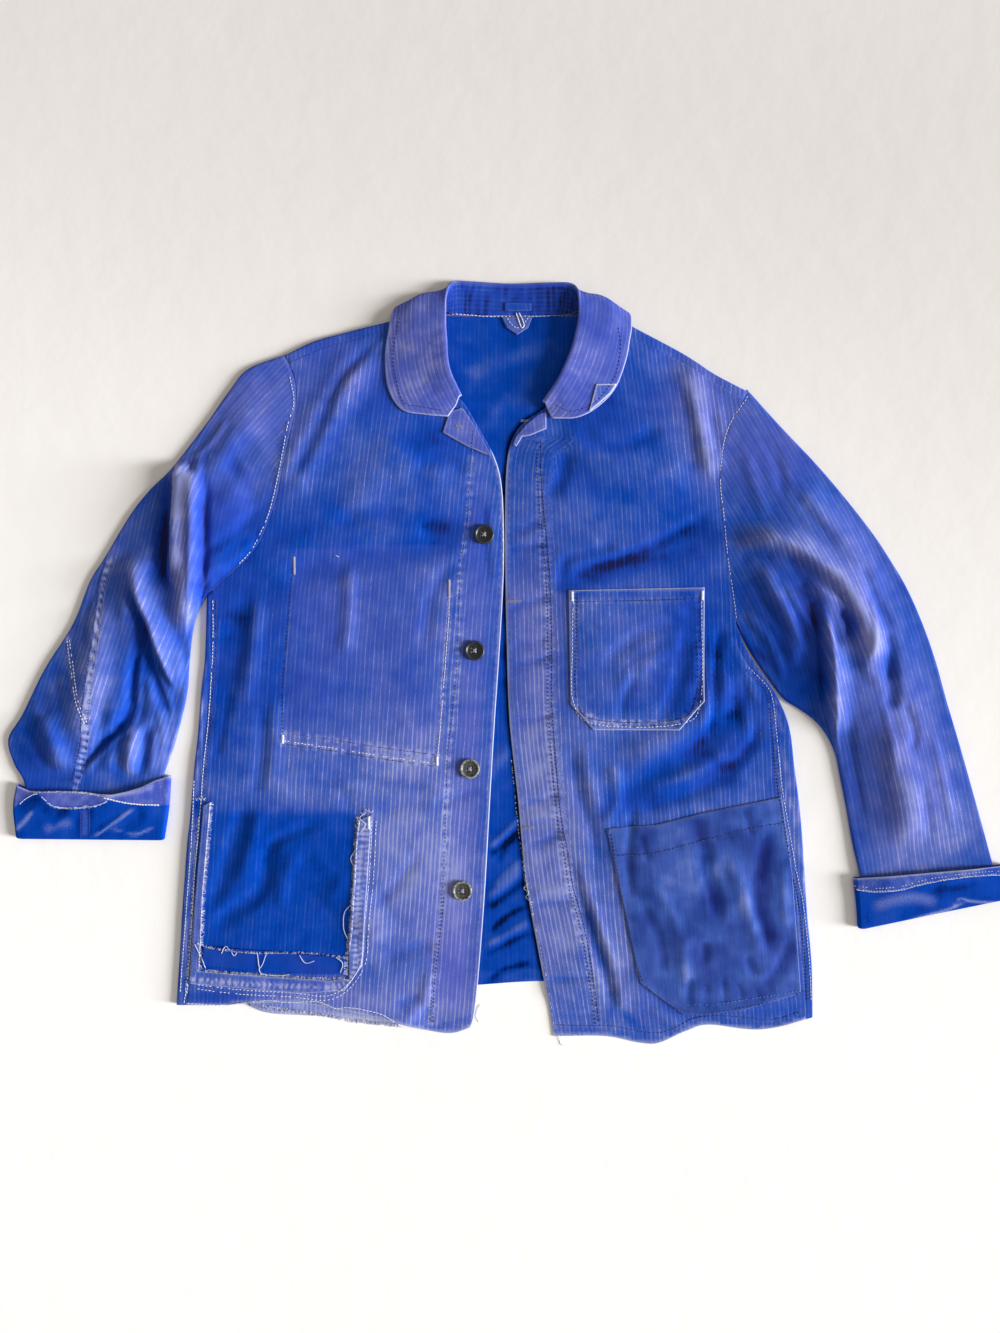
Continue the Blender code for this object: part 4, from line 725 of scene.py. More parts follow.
def armhole_points(points, step=EDGE_STEP):
    """Points down an armhole, the second and the last but one on the shoulder's and the side's seams."""
    line = spline(points, 7)
    whole = lengths(line)[-1]
    count = round((whole - 2 * SEAM_SET_IN) / step) + 1
    middle = np.linspace(SEAM_SET_IN, whole - SEAM_SET_IN, count)
    return points_at(line, np.concatenate([[0], middle, [whole]]))


def nearest(points, line):
    """For each point: distance to a line, the foot on it, the line's way there and the share along it."""
    points, line = np.asarray(points, float), np.asarray(line, float)
    start, step = line[:-1], np.diff(line, axis=0)
    length = np.maximum(np.linalg.norm(step, axis=1), 1e-9)
    rel = points[:, None] - start[None]
    t = np.clip((rel * step).sum(2) / (length**2), 0, 1)
    feet = start[None] + t[..., None] * step[None]
    gap = np.linalg.norm(points[:, None] - feet, axis=2)
    i = gap.argmin(axis=1)
    rows = np.arange(len(points))
    along = lengths(line)
    share = (along[i] + t[rows, i] * length[i]) / along[-1]
    return gap[rows, i], feet[rows, i], step[i] / length[i][:, None], share


def smoothstep(x):
    """0 below 0, 1 above 1, smooth between."""
    x = np.clip(x, 0, 1)
    return x * x * (3 - 2 * x)


def neck_lift(points):
    """How far the body is raised where the collar's fall lies under the back of the neck."""
    points = np.asarray(points, float)
    up = smoothstep((points[:, 1] - NECK_FROM) / NECK_FADING)
    aside = smoothstep((NECK_HALF - np.abs(points[:, 0] - NECK_MIDDLE)) / NECK_FADING)
    return LIFT_OVER_COLLAR * up * aside


def past_back_hem(points):
    """How far plan points are below the back's hem."""
    hem = spline(BACK_HEM, 7)
    return np.interp(points[:, 0], hem[:, 0], hem[:, 1]) - points[:, 1]


def inside(points, polygon):
    """Whether each plan point is inside a polygon."""
    x, y = np.asarray(points, float).T
    polygon = np.asarray(polygon, float)
    found = np.zeros(len(x), bool)
    for (x0, y0), (x1, y1) in zip(polygon, np.roll(polygon, -1, axis=0)):
        if y0 == y1:
            continue
        crosses = (y0 > y) != (y1 > y)
        found ^= crosses & (x < x0 + (y - y0) * (x1 - x0) / (y1 - y0))
    return found


def clear_of(points, kept, distance):
    """The points that are further than a distance from the kept ones."""
    gap = np.min(np.linalg.norm(points[:, None] - kept[None], axis=2), axis=1)
    return points[gap > distance]


def grid_points(polygon, spacing):
    """A staggered grid inside a polygon."""
    low, high = np.min(polygon, axis=0), np.max(polygon, axis=0)
    row_gap = spacing * math.sqrt(3) / 2
    rows = []
    for k, y in enumerate(np.arange(low[1] + row_gap / 2, high[1], row_gap)):
        shift = spacing / 2 if k % 2 else 0
        rows += [(x, y) for x in np.arange(low[0] + shift, high[0], spacing)]
    rows = np.array(rows)
    return rows[inside(rows, polygon)]


def boundary(faces):
    """The directed edges that only one face uses."""
    seen = {(a, b) for face in faces for a, b in zip(face, face[1:] + face[:1])}
    return [(a, b) for a, b in seen if (b, a) not in seen]


def normals_2d(line):
    """Directions square to a plan line, to the left of its way."""
    along = np.gradient(np.asarray(line, float), axis=0)
    along /= np.linalg.norm(along, axis=1)[:, None]
    return np.stack([-along[:, 1], along[:, 0]], axis=1)


def noise(points, size, seed):
    """Smooth random values from -1 to 1 over a plan, in bumps about size across."""
    table = np.random.default_rng(seed).uniform(-1, 1, (NOISE_TABLE, NOISE_TABLE))
    p = np.asarray(points, float)[:, :2] / size
    cell = np.floor(p).astype(int)
    fx, fy = smoothstep(p - cell).T
    i, j = (cell % NOISE_TABLE).T
    k, m = (i + 1) % NOISE_TABLE, (j + 1) % NOISE_TABLE
    low = table[i, j] * (1 - fx) + table[k, j] * fx
    high = table[i, m] * (1 - fx) + table[k, m] * fx
    return low * (1 - fy) + high * fy


def bell(x):
    """1 at 0, falling smoothly to 0 at 1."""
    return 0.5 + 0.5 * np.cos(math.pi * np.clip(x, 0, 1))


def creases(points, folds):
    """The sum of soft ridges (+) and troughs (-) at plan points."""
    total = np.zeros(len(points))
    for fold in folds:
        away, foot, along, share = nearest_wide(points, spline(fold.path, 4), max(fold.left, fold.right))
        offset = points - foot
        left = along[:, 0] * offset[:, 1] - along[:, 1] * offset[:, 0] > 0
        width = np.where(left, fold.left, fold.right)
        start, end = smoothstep(share / FOLD_FADING), smoothstep((1 - share) / FOLD_FADING)
        total += fold.height * bell(away / width) * start * end
    return total


def nearest_wide(points, line, reach):
    """nearest(), worked out only for the points within reach of the line's box."""
    low, high = line.min(axis=0) - reach, line.max(axis=0) + reach
    near = np.all((points >= low) & (points <= high), axis=1)
    away = np.full(len(points), 1e6)
    foot = np.array(points, float)
    along = np.tile([1.0, 0.0], (len(points), 1))
    share = np.zeros(len(points))
    if near.any():
        away[near], foot[near], along[near], share[near] = nearest(points[near], line)
    return away, foot, along, share


def seam_relief(points, seams):
    """Grooves along sewn lines with puckers beside them, and how far the puckers are worn pale."""
    height, wear = np.zeros(len(points)), np.zeros(len(points))
    for number, sewn in enumerate(seams):
        line = spline(sewn.path, 5)
        away, _, _, share = nearest_wide(points, line, 12)
        along = share * lengths(line)[-1]
        wander = noise(np.column_stack([along, np.full(len(along), 7.0 * number)]), sewn.pitch * 2.2, 5)
        ripple = np.sin(2 * math.pi * (along / sewn.pitch + 0.35 * wander))
        height += sewn.depth * (ripple * bell(away / PUCKER_REACH) * 0.75 - bell(away / GROOVE_REACH))
        wear += sewn.wear * bell(away / RUBBED_REACH) * (0.45 + 0.55 * ripple)
    return height, wear


def oriented(points, faces, probe, direction):
    """The faces turned the same way, so that the face nearest the probe looks in a direction."""
    work = bmesh.new()
    verts = [work.verts.new(p) for p in points]
    for face in faces:
        work.faces.new([verts[i] for i in face])
    bmesh.ops.recalc_face_normals(work, faces=work.faces)
    work.verts.index_update()
    closest = min(work.faces, key=lambda f: (f.calc_center_median() - Vector(probe)).length)
    closest.normal_update()
    if closest.normal.dot(Vector(direction)) < 0:
        bmesh.ops.reverse_faces(work, faces=work.faces)
    turned = [tuple(v.index for v in face.verts) for face in work.faces]
    work.free()
    return turned


def vertex_normals(points, faces):
    """Area-weighted normals at the points of triangles and quads."""
    total = np.zeros_like(points)
    for size in (3, 4):
        some = np.array([f for f in faces if len(f) == size])
        if not len(some):
            continue
        a, b, c = points[some[:, 0]], points[some[:, 1]], points[some[:, 2]]
        square = np.cross(b - a, c - a)
        if size == 4:
            square = np.cross(c - a, points[some[:, 3]] - b)
        for k in range(size):
            np.add.at(total, some[:, k], square)
    return total / np.maximum(np.linalg.norm(total, axis=1), 1e-12)[:, None]


def loops(edges):
    """Closed loops of points from directed edges."""
    following = dict(edges)
    found = []
    while following:
        start, at = following.popitem()
        loop = [start]
        while at != start:
            loop.append(at)
            at = following.pop(at)
        found.append(loop)
    return found


def set_attribute(mesh, name, values):
    """Numbers, or rows of three, that a material reads at the mesh's points."""
    attribute = mesh.attributes.new(name, "FLOAT" if values.ndim == 1 else "FLOAT_VECTOR", "POINT")
    key = "value" if values.ndim == 1 else "vector"
    attribute.data.foreach_set(key, np.ascontiguousarray(values, np.float32).ravel())


def mesh_object(name, points, faces, material, smooth=True):
    """An object from points in millimetres."""
    mesh = bpy.data.meshes.new(name)
    mesh.from_pydata((np.asarray(points) * MM).tolist(), [], [tuple(int(i) for i in f) for f in faces])
    mesh.materials.append(material)
    mesh.polygons.foreach_set("use_smooth", [smooth] * len(mesh.polygons))
    obj = bpy.data.objects.new(name, mesh)
    bpy.context.scene.collection.objects.link(obj)
    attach(obj, "root")
    return obj


def linear(*rgb):
    """A linear colour from one in the picture's 0 to 255 values."""
    made = [c / 255 for c in rgb]
    return tuple(c / 12.92 if c <= 0.04045 else ((c + 0.055) / 1.055) ** 2.4 for c in made) + (1.0,)


class Nodes:
    """A material's node tree, filled by short calls."""

    def __init__(self, name, roughness, sheen=0.0, specular=0.25):
        self.material = bpy.data.materials.new(name)
        self.material.use_nodes = True
        self.tree = self.material.node_tree
        self.shader = self.tree.nodes["Principled BSDF"]
        self.shader.inputs["Roughness"].default_value = roughness
        self.shader.inputs["Sheen Weight"].default_value = sheen
        self.shader.inputs["Specular IOR Level"].default_value = specular

    def put(self, socket, value):
        if isinstance(value, bpy.types.NodeSocket):
            self.tree.links.new(value, socket)
        else:
            socket.default_value = value

    def attribute(self, name, output="Fac"):
        node = self.tree.nodes.new("ShaderNodeAttribute")
        node.attribute_name = name
        return node.outputs[output]

    def math(self, operation, a, b=0.0, c=0.0):
        node = self.tree.nodes.new("ShaderNodeMath")
        node.operation = operation
        for socket, value in zip(node.inputs, (a, b, c)):
            self.put(socket, value)
        return node.outputs[0]

    def add(self, a, b):
        return self.math("ADD", a, b)

    def mul(self, a, b):
        return self.math("MULTIPLY", a, b)

    def madd(self, a, b, c):
        """a times b plus c."""
        return self.math("MULTIPLY_ADD", a, b, c)

    def minus(self, a, b):
        return self.math("SUBTRACT", a, b)

    def clamp(self, value):
        return self.math("MINIMUM", self.math("MAXIMUM", value, 0.0), 1.0)

    def step(self, value, low, high):
        """0 below low, 1 above high, smooth between."""
        node = self.tree.nodes.new("ShaderNodeMapRange")
        node.interpolation_type = "SMOOTHSTEP"
        for name, put in (("Value", value), ("From Min", low), ("From Max", high)):
            self.put(node.inputs[name], put)
        return node.outputs[0]

    def split(self, vector):
        node = self.tree.nodes.new("ShaderNodeSeparateXYZ")
        self.put(node.inputs[0], vector)
        return node.outputs

    def join(self, x, y, z):
        node = self.tree.nodes.new("ShaderNodeCombineXYZ")
        for socket, value in zip(node.inputs, (x, y, z)):
            self.put(socket, value)
        return node.outputs[0]

    def weave_noise(self, u, v, scale_u, scale_v, level, detail=2.0):
        """Noise over the weave, stretched along it or across it."""
        return self.noise(self.join(self.mul(u, scale_u), self.mul(v, scale_v), level), 1.0, detail)

    def noise(self, vector, scale, detail=2.0):
        node = self.tree.nodes.new("ShaderNodeTexNoise")
        self.put(node.inputs["Vector"], vector)
        node.inputs["Scale"].default_value = scale
        node.inputs["Detail"].default_value = detail
        return node.outputs[0]

    def ramp(self, value, stops):
        node = self.tree.nodes.new("ShaderNodeValToRGB")
        self.put(node.inputs[0], value)
        elements = node.color_ramp.elements
        while len(elements) < len(stops):
            elements.new(0.5)
        for element, (at, colour) in zip(elements, stops):
            element.position = at
            element.color = colour
        return node.outputs[0]

    def mix(self, share, a, b, blend="MIX"):
        node = self.tree.nodes.new("ShaderNodeMix")
        node.data_type = "RGBA"
        node.blend_type = blend
        for name, value in ((0, share), (6, a), (7, b)):
            self.put(node.inputs[name], value)
        return node.outputs[2]

    def bump(self, height, strength, distance):
        node = self.tree.nodes.new("ShaderNodeBump")
        node.inputs["Strength"].default_value = strength
        node.inputs["Distance"].default_value = distance
        self.put(node.inputs["Height"], height)
        self.tree.links.new(node.outputs[0], self.shader.inputs["Normal"])


# The dye from unfaded to worn, as the picture shows it in even light; the stops below 0 on this ramp and
# the pocket's, darker than the unfaded dye, are painted shade
DYE_AND_PAINTED_SHADE = [(-0.25, (1, 16, 62)), (-0.10, (0, 46, 134)), (0.0, (0, 60, 162)), (0.16, (8, 64, 168)),
       (0.34, (34, 76, 172)), (0.54, (62, 92, 178)), (0.74, (90, 108, 186)), (0.90, (114, 126, 194)),
       (1.0, (144, 154, 206))]
POCKET_DYE_AND_PAINTED_SHADE = [(-0.25, (6, 12, 46)), (0.0, (12, 34, 106)), (0.38, (41, 69, 148)), (0.62, (60, 91, 173)),
              (1.0, (122, 138, 204))]
# The ramps' lowest value, where their painted shade is darkest
PAINTED_SHADE_LOW = -0.25
PALE_THREAD = (214, 218, 232)
TINT = (86, 84, 172)
STRIPE_PITCH = 4.57
TWILL_PITCH = 1.3


def cloth_material(name, dye_and_shade, stripe_share, twill_share, streak_share, grit_share=0.42):
    """Cotton herringbone with fine pale stripes along the weave, faded and worn as its points say, with the
    painted light and shade that its fade carries.
    """
    n = Nodes(name, 0.95, sheen=0.0, specular=0.04)
    u, v, striped = n.split(n.attribute("grain", "Vector"))
    fade = n.attribute("fade")
    wear = n.attribute("wear")
    shade = n.attribute("shade")
    sway = n.weave_noise(u, v, 0.02, 0.02, 0.0)
    u_sway = n.add(u, n.mul(n.minus(sway, 0.5), 3.0))
    column = n.math("PINGPONG", u_sway, STRIPE_PITCH / 2)
    line = n.mul(n.step(column, 1.25, 0.1), 0.62)
    second = n.step(n.math("PINGPONG", u_sway, STRIPE_PITCH), 0.95, 0.2)
    slub = n.weave_noise(u, v, 0.22, 0.06, 0.0)
    dots = n.weave_noise(u, v, 0.4, 0.7, 3.0)
    broken = n.madd(n.step(slub, 0.32, 0.62), 0.75, n.step(dots, 0.35, 0.65))
    line = n.mul(n.mul(n.madd(second, 0.45, line), n.madd(broken, 0.46, 0.26)), striped)
    column_twill = n.math("PINGPONG", u_sway, STRIPE_PITCH)
    slant = n.add(v, column_twill)
    twill = n.math("SINE", n.mul(slant, 2 * math.pi / TWILL_PITCH))
    streak = n.weave_noise(u, v, 0.55, 0.03, 2.0)
    cloud = n.weave_noise(u, v, 0.05, 0.05, 5.0, 4.0)
    grit = n.weave_noise(u, v, 0.75, 1.5, 8.0)
    # fade brings the dye's fading together with painted light and shade
    faded = fade
    for pattern, share in ((streak, streak_share), (cloud, 0.50), (grit, grit_share)):
        faded = n.madd(n.minus(pattern, 0.5), share, faded)
    faded = n.madd(twill, twill_share, faded)
    show = n.madd(n.clamp(fade), stripe_share * 0.50, stripe_share * 0.42)
    faded = n.madd(line, show, faded)
    on_ramp = n.clamp(n.mul(n.minus(faded, PAINTED_SHADE_LOW), 1 / (1 - PAINTED_SHADE_LOW)))
    colour = n.ramp(on_ramp, [((at - PAINTED_SHADE_LOW) / (1 - PAINTED_SHADE_LOW), linear(*rgb)) for at, rgb in dye_and_shade])
    worn = n.mul(n.clamp(wear), n.step(n.add(grit, n.mul(wear, 0.5)), 0.3, 0.8))
    colour = n.mix(worn, colour, linear(*PALE_THREAD))
    colour = n.mix(n.clamp(shade), colour, linear(*TINT))
    n.put(n.shader.inputs["Base Color"], colour)
    height = n.madd(twill, 0.5, n.madd(grit, 1.6, n.mul(line, 0.5)))
    n.bump(height, 0.55, 0.00035)
    return n.material


def thread_material(name, colour):
    """Spun cotton thread."""
    n = Nodes(name, 0.75, sheen=0.2)
    place = n.tree.nodes.new("ShaderNodeTexCoord").outputs["Object"]
    fibre = n.noise(place, 900.0, 3.0)
    dark = tuple(c * 0.75 for c in linear(*colour)[:3]) + (1.0,)
    n.put(n.shader.inputs["Base Color"], n.ramp(fibre, [(0.3, dark), (0.65, linear(*colour))]))
    n.bump(fibre, 0.5, 0.0002)
    return n.material


def button_material(name, body, worn):
    """Mottled dark plastic, rubbed pale where its points are worn."""
    n = Nodes(name, 0.30, specular=0.5)
    place = n.tree.nodes.new("ShaderNodeTexCoord").outputs["Object"]
    mottle = n.noise(place, 260.0, 4.0)
    rub = n.clamp(n.mul(n.attribute("wear"), n.step(n.noise(place, 420.0, 3.0), 0.3, 0.6)))
    colour = n.mix(mottle, linear(*body), tuple(c * 1.9 for c in linear(*body)[:3]) + (1.0,))
    n.put(n.shader.inputs["Base Color"], n.mix(rub, colour, linear(*worn)))
    n.put(n.shader.inputs["Roughness"], n.madd(mottle, 0.35, 0.22))
    n.bump(mottle, 0.25, 0.0002)
    return n.material


worn_cloth = cloth_material("worn_cloth", DYE_AND_PAINTED_SHADE, 0.66, 0.06, 0.24)
inner_cloth = cloth_material("inner_cloth", DYE_AND_PAINTED_SHADE, 0.25, 0.05, 0.20)
pocket_cloth = cloth_material("pocket_twill", POCKET_DYE_AND_PAINTED_SHADE, 0.0, 0.05, 0.34, 0.40)
white_thread = thread_material("white_thread", (222, 225, 238))
faded_thread = thread_material("faded_thread", (98, 118, 196))
blue_thread = thread_material("blue_thread", (26, 40, 104))
grey_thread = thread_material("grey_thread", (150, 146, 168))
# Near-black, for the painted shade in the buttonholes' slits
slit_shade_thread = thread_material("slit_shade_thread", (10, 14, 40))

button_dark = button_material("button_dark", (9, 13, 17), (40, 52, 56))
button_grey = button_material("button_grey", (30, 36, 36), (160, 164, 156))


class Look:
    """What the cloth's material reads at each point of a middle surface, one value a point."""

    def __init__(self, grain, fade, wear=0.0, stripe=1.0, shade=0.0):
        count = len(grain)
        self.grain = np.asarray(grain, float)
        self.fade = np.broadcast_to(np.asarray(fade, float), count)
        self.wear = np.broadcast_to(np.asarray(wear, float), count)
        self.stripe = np.broadcast_to(np.asarray(stripe, float), count)
        self.shade = np.broadcast_to(np.asarray(shade, float), count)

    def rows(self):
        return np.column_stack([self.grain, self.fade, self.wear, self.stripe, self.shade])


def cloth(name, points, faces, thickness, outer, inner, material, worn_rim=0.8, rim_out=0.3):
    """A thin shell round a middle surface, its outer side where the faces look, with a rounded rim.

    outer and inner are the two sides' Looks. worn_rim is how pale the cloth's edge is, here or at each point.
    """
    points = np.asarray(points, float)
    normals = vertex_normals(points, faces)
    upper = points + normals * thickness / 2
    lower = points - normals * thickness / 2
    for side in (upper, lower):
        side[:, 2] = np.maximum(side[:, 2], 0)
    count = len(points)
    worn_rim = np.broadcast_to(worn_rim, count)
    rows_out, rows_in = outer.rows(), inner.rows()
    all_points, all_rows = [upper, lower], [rows_out, rows_in]
    made = [tuple(f) for f in faces] + [tuple(i + count for i in reversed(f)) for f in faces]
    start = 2 * count
    for loop in loops(boundary(faces)):
        loop = np.array(loop)
        along = np.roll(points[loop], -1, axis=0) - np.roll(points[loop], 1, axis=0)
        outward = np.cross(along, normals[loop])
        outward /= np.maximum(np.linalg.norm(outward, axis=1), 1e-9)[:, None]
        rim = points[loop] + outward * rim_out
        rim[:, 2] = np.maximum(rim[:, 2], 0)
        row = rows_out[loop].copy()
        row[:, 3] = np.maximum(row[:, 3], worn_rim[loop])
        all_points.append(rim)
        all_rows.append(row)
        number = np.arange(start, start + len(loop))
        for k in range(len(loop)):
            a, b = loop[k], loop[(k + 1) % len(loop)]
            c, d = number[k], number[(k + 1) % len(loop)]
            made += [(b, a, c, d), (d, c, a + count, b + count)]
        start += len(loop)
    rows = np.vstack(all_rows)
    obj = mesh_object(name, np.vstack(all_points), made, material)
    set_attribute(obj.data, "grain", np.column_stack([rows[:, 0:2], rows[:, 4]]))
    # fade: the dye's fading with painted light and shade laid into it
    set_attribute(obj.data, "fade", rows[:, 2])
    set_attribute(obj.data, "wear", rows[:, 3])
    set_attribute(obj.data, "shade", rows[:, 5])
    return obj


# How faded the dye is, from 0, unfaded, to 1, with painted light and shade laid in: spots that go low or
# below 0 are painted shade beside fold edges, in troughs and under the collar's leaf, and a few high ones,
# as on the left sleeve's pleat, are painted light. Soft spots at pixels of the photograph, laid over each
# other in order, as (x, y, half width, half height, turn in degrees, fade)
FADE_BASE = 0.42
FADE_SHARE = 0.84
FADES_AND_PAINTED_LIGHT = [
    (250, 640, 130, 150, 0, 0.10), (215, 560, 60, 90, 10, 0.03), (235, 700, 40, 110, 4, 0.22),
    (380, 640, 90, 90, 0, 0.36), (450, 790, 30, 20, 0, 0.20), (460, 640, 34, 130, 3, 0.60),
    (480, 545, 26, 40, 0, 0.30), (430, 540, 60, 30, -15, 0.28), (330, 420, 75, 70, 20, 0.50),
    (400, 460, 50, 70, 10, 0.34), (340, 370, 60, 30, 40, 0.42), (376, 400, 18, 40, 30, 0.16),
    (316, 450, 20, 50, 30, 0.16), (430, 440, 46, 34, -10, 0.0), (395, 400, 16, 30, 20, 0.10),
    (360, 500, 90, 30, 0, 0.40), (300, 530, 60, 24, -20, 0.12), (255, 700, 30, 90, 0, 0.18),
    (330, 760, 110, 40, 6, 0.60), (420, 780, 70, 60, 0, 0.84), (460, 740, 30, 60, 0, 0.70),
    (410, 880, 60, 120, 0, 1.00), (455, 880, 30, 110, 0, 0.95), (410, 960, 60, 40, 0, 0.76),
    (330, 1005, 150, 28, 4, 0.88), (216, 996, 36, 7, 0, 0.10), (197, 806, 4, 12, 0, -0.20),
    (450, 1005, 50, 30, 0, 0.95), (300, 790, 110, 16, 3, 0.66), (600, 420, 50, 70, 0, 0.03),
    (560, 460, 30, 40, 0, 0.30), (650, 440, 50, 60, 30, 0.30), (720, 430, 50, 80, -20, 0.85),
    (740, 480, 30, 60, 0, 0.70), (640, 500, 80, 40, 0, 0.36), (560, 520, 60, 40, 0, 0.50),
    (690, 540, 50, 30, -20, 0.20), (540, 620, 34, 60, 0, 0.84), (535, 760, 30, 150, 2, 0.92),
    (560, 900, 40, 140, 4, 1.05), (610, 640, 50, 50, 0, 0.66), (600, 740, 40, 50, 0, 0.80),
    (700, 650, 40, 80, 0, 0.04), (718, 690, 30, 90, 0, -0.02), (650, 760, 70, 40, 0, 0.42),
    (690, 756, 70, 22, -22, 0.06), (730, 740, 40, 40, -30, 0.10), (630, 800, 40, 16, -10, 0.14),
    (672, 791, 66, 9, -21, -0.10), (737, 757, 26, 11, -55, -0.06), (770, 700, 24, 70, 10, 0.35),
    (695, 655, 26, 80, 0, -0.12), (640, 700, 50, 14, -10, 0.30), (600, 640, 20, 40, 0, 0.52),
    (640, 556, 84, 15, -19, -0.02), (575, 575, 20, 30, 30, 0.16), (620, 470, 60, 40, 0, 0.12),
    (590, 400, 40, 40, 0, 0.02), (676, 500, 40, 30, -20, 0.16), (700, 900, 130, 110, 0, 0.62),
    (640, 900, 50, 60, 0, 0.74), (740, 960, 90, 50, 0, 0.60), (610, 980, 40, 50, 0, 0.95),
    (780, 830, 30, 60, 10, 0.66), (750, 420, 60, 60, 30, 0.66), (790, 480, 60, 70, 40, 0.50),
    (850, 560, 60, 80, 40, 0.62), (750, 500, 30, 60, 0, 0.34), (770, 560, 50, 34, 20, 0.56),
    (740, 600, 34, 50, 10, 0.28), (790, 640, 30, 60, 10, 0.35), (770, 640, 40, 40, 30, 0.16),
    (800, 680, 34, 50, 20, 0.03), (808, 622, 14, 34, 12, -0.16), (870, 650, 40, 60, 0, 0.66),
    (846, 622, 7, 16, -20, -0.10), (756, 651, 30, 6, 39, -0.22), (890, 665, 14, 26, 20, 0.36),
    (790, 575, 30, 24, 30, 0.30), (900, 720, 60, 80, -10, 0.76), (930, 820, 60, 70, -10, 0.86),
    (900, 860, 40, 40, 0, 0.78), (250, 410, 60, 60, 30, 0.74), (230, 470, 60, 50, 20, 0.52),
    (180, 480, 40, 40, 0, 0.70), (200, 560, 26, 60, 5, 0.06), (240, 530, 34, 34, 20, 0.06),
    (120, 560, 50, 50, 30, 0.66), (180, 600, 30, 90, 0, 0.52), (100, 640, 40, 60, 10, 0.60),
    (104, 700, 30, 70, 10, 0.70), (128, 690, 14, 60, 14, 0.20), (60, 660, 30, 60, 10, 0.60),
    (40, 740, 40, 60, 20, 0.16), (40, 780, 50, 30, 0, 0.18), (205, 560, 9, 40, 4, -0.14),
    (212, 556, 22, 36, 20, -0.02), (164, 545, 7, 46, 0, -0.04), (184, 520, 9, 76, 0, 0.58),
    (201, 540, 10, 92, 2, -0.06), (158, 612, 9, 56, -18, 0.30), (140, 720, 26, 70, 8, 0.52),
    (180, 740, 24, 60, 8, 0.80),
]

# Where the fading is purplish rather than blue, in the same way
TINTS = [
    (330, 365, 70, 50, 20, 0.30), (300, 430, 50, 70, 10, 0.15), (255, 410, 60, 60, 30, 0.35),
    (230, 480, 50, 50, 20, 0.25), (190, 540, 30, 90, 0, 0.25), (120, 580, 60, 60, 0, 0.10),
    (700, 400, 50, 70, -20, 0.35), (770, 450, 60, 60, 30, 0.35), (850, 580, 60, 80, 30, 0.30),
    (900, 760, 70, 110, -10, 0.30), (530, 640, 40, 120, 0, 0.30), (550, 880, 40, 120, 0, 0.20),
    (360, 640, 80, 90, 0, 0.16), (420, 860, 60, 160, 0, 0.16), (460, 940, 30, 90, 0, 0.35),
    (640, 640, 60, 60, 0, 0.12), (330, 1000, 130, 26, 0, 0.25), (470, 720, 16, 260, 2, 0.40),
    (450, 960, 26, 60, 0, 0.50),
]


def fade_and_painted_light_at(points):
    """How faded the cloth is at plan points, with the painted light and shade of its spots."""
    spots = spotted(points, FADE_BASE, FADES_AND_PAINTED_LIGHT)
    return spots * FADE_SHARE + 0.09 * noise(points, 26, 1) + 0.07 * noise(points, 9, 2)


def tint_at(points):
    """How purplish the fading is at plan points."""
    return np.maximum(spotted(points, 0.05, TINTS) + 0.06 * noise(points, 30, 3), 0)


def spotted(points, base, spots):
    """A base value with soft spots laid over it in order."""
    points = np.asarray(points, float)
    fade = np.full(len(points), float(base))
    for x, y, half_x, half_y, turn, value in spots:
        centre = np.array(px((x, y))[0])
        angle = math.radians(turn)
        offset = (points[:, :2] - centre) / MM_PER_PX
        across = offset[:, 0] * math.cos(angle) - offset[:, 1] * math.sin(angle)
        down = offset[:, 0] * math.sin(angle) + offset[:, 1] * math.cos(angle)
        away = np.sqrt((across / half_x) ** 2 + (down / half_y) ** 2)
        fade += (value - fade) * bell(away / 1.45)
    return fade


def stripes_along(slopes):
    """A plan function whose level lines slope as a table of (pixel row, sideways shift a row) says."""
    rows, shift = np.array(slopes, float).T
    fine = np.linspace(rows[0], rows[-1], 400)
    slope = np.interp(fine, rows, shift)
    moved = np.concatenate([[0], np.cumsum((slope[1:] + slope[:-1]) / 2 * np.diff(fine))])

    def grain(points):
        row = PX_ORIGIN[1] - points[:, 1] / MM_PER_PX
        u = points[:, 0] - np.interp(row, fine, moved) * MM_PER_PX
        return np.column_stack([u, points[:, 1]])

    return grain


grain_left = stripes_along([(280, -0.15), (400, -0.13), (540, -0.11), (640, -0.07), (760, -0.06),
                            (1050, -0.08)])
grain_right = stripes_along([(280, 0.16), (410, 0.13), (470, 0.105), (535, 0.05), (660, 0.03), (765, 0.045),
                             (1050, 0.10)])
grain_back = stripes_along([(280, 0.0), (1050, 0.01)])


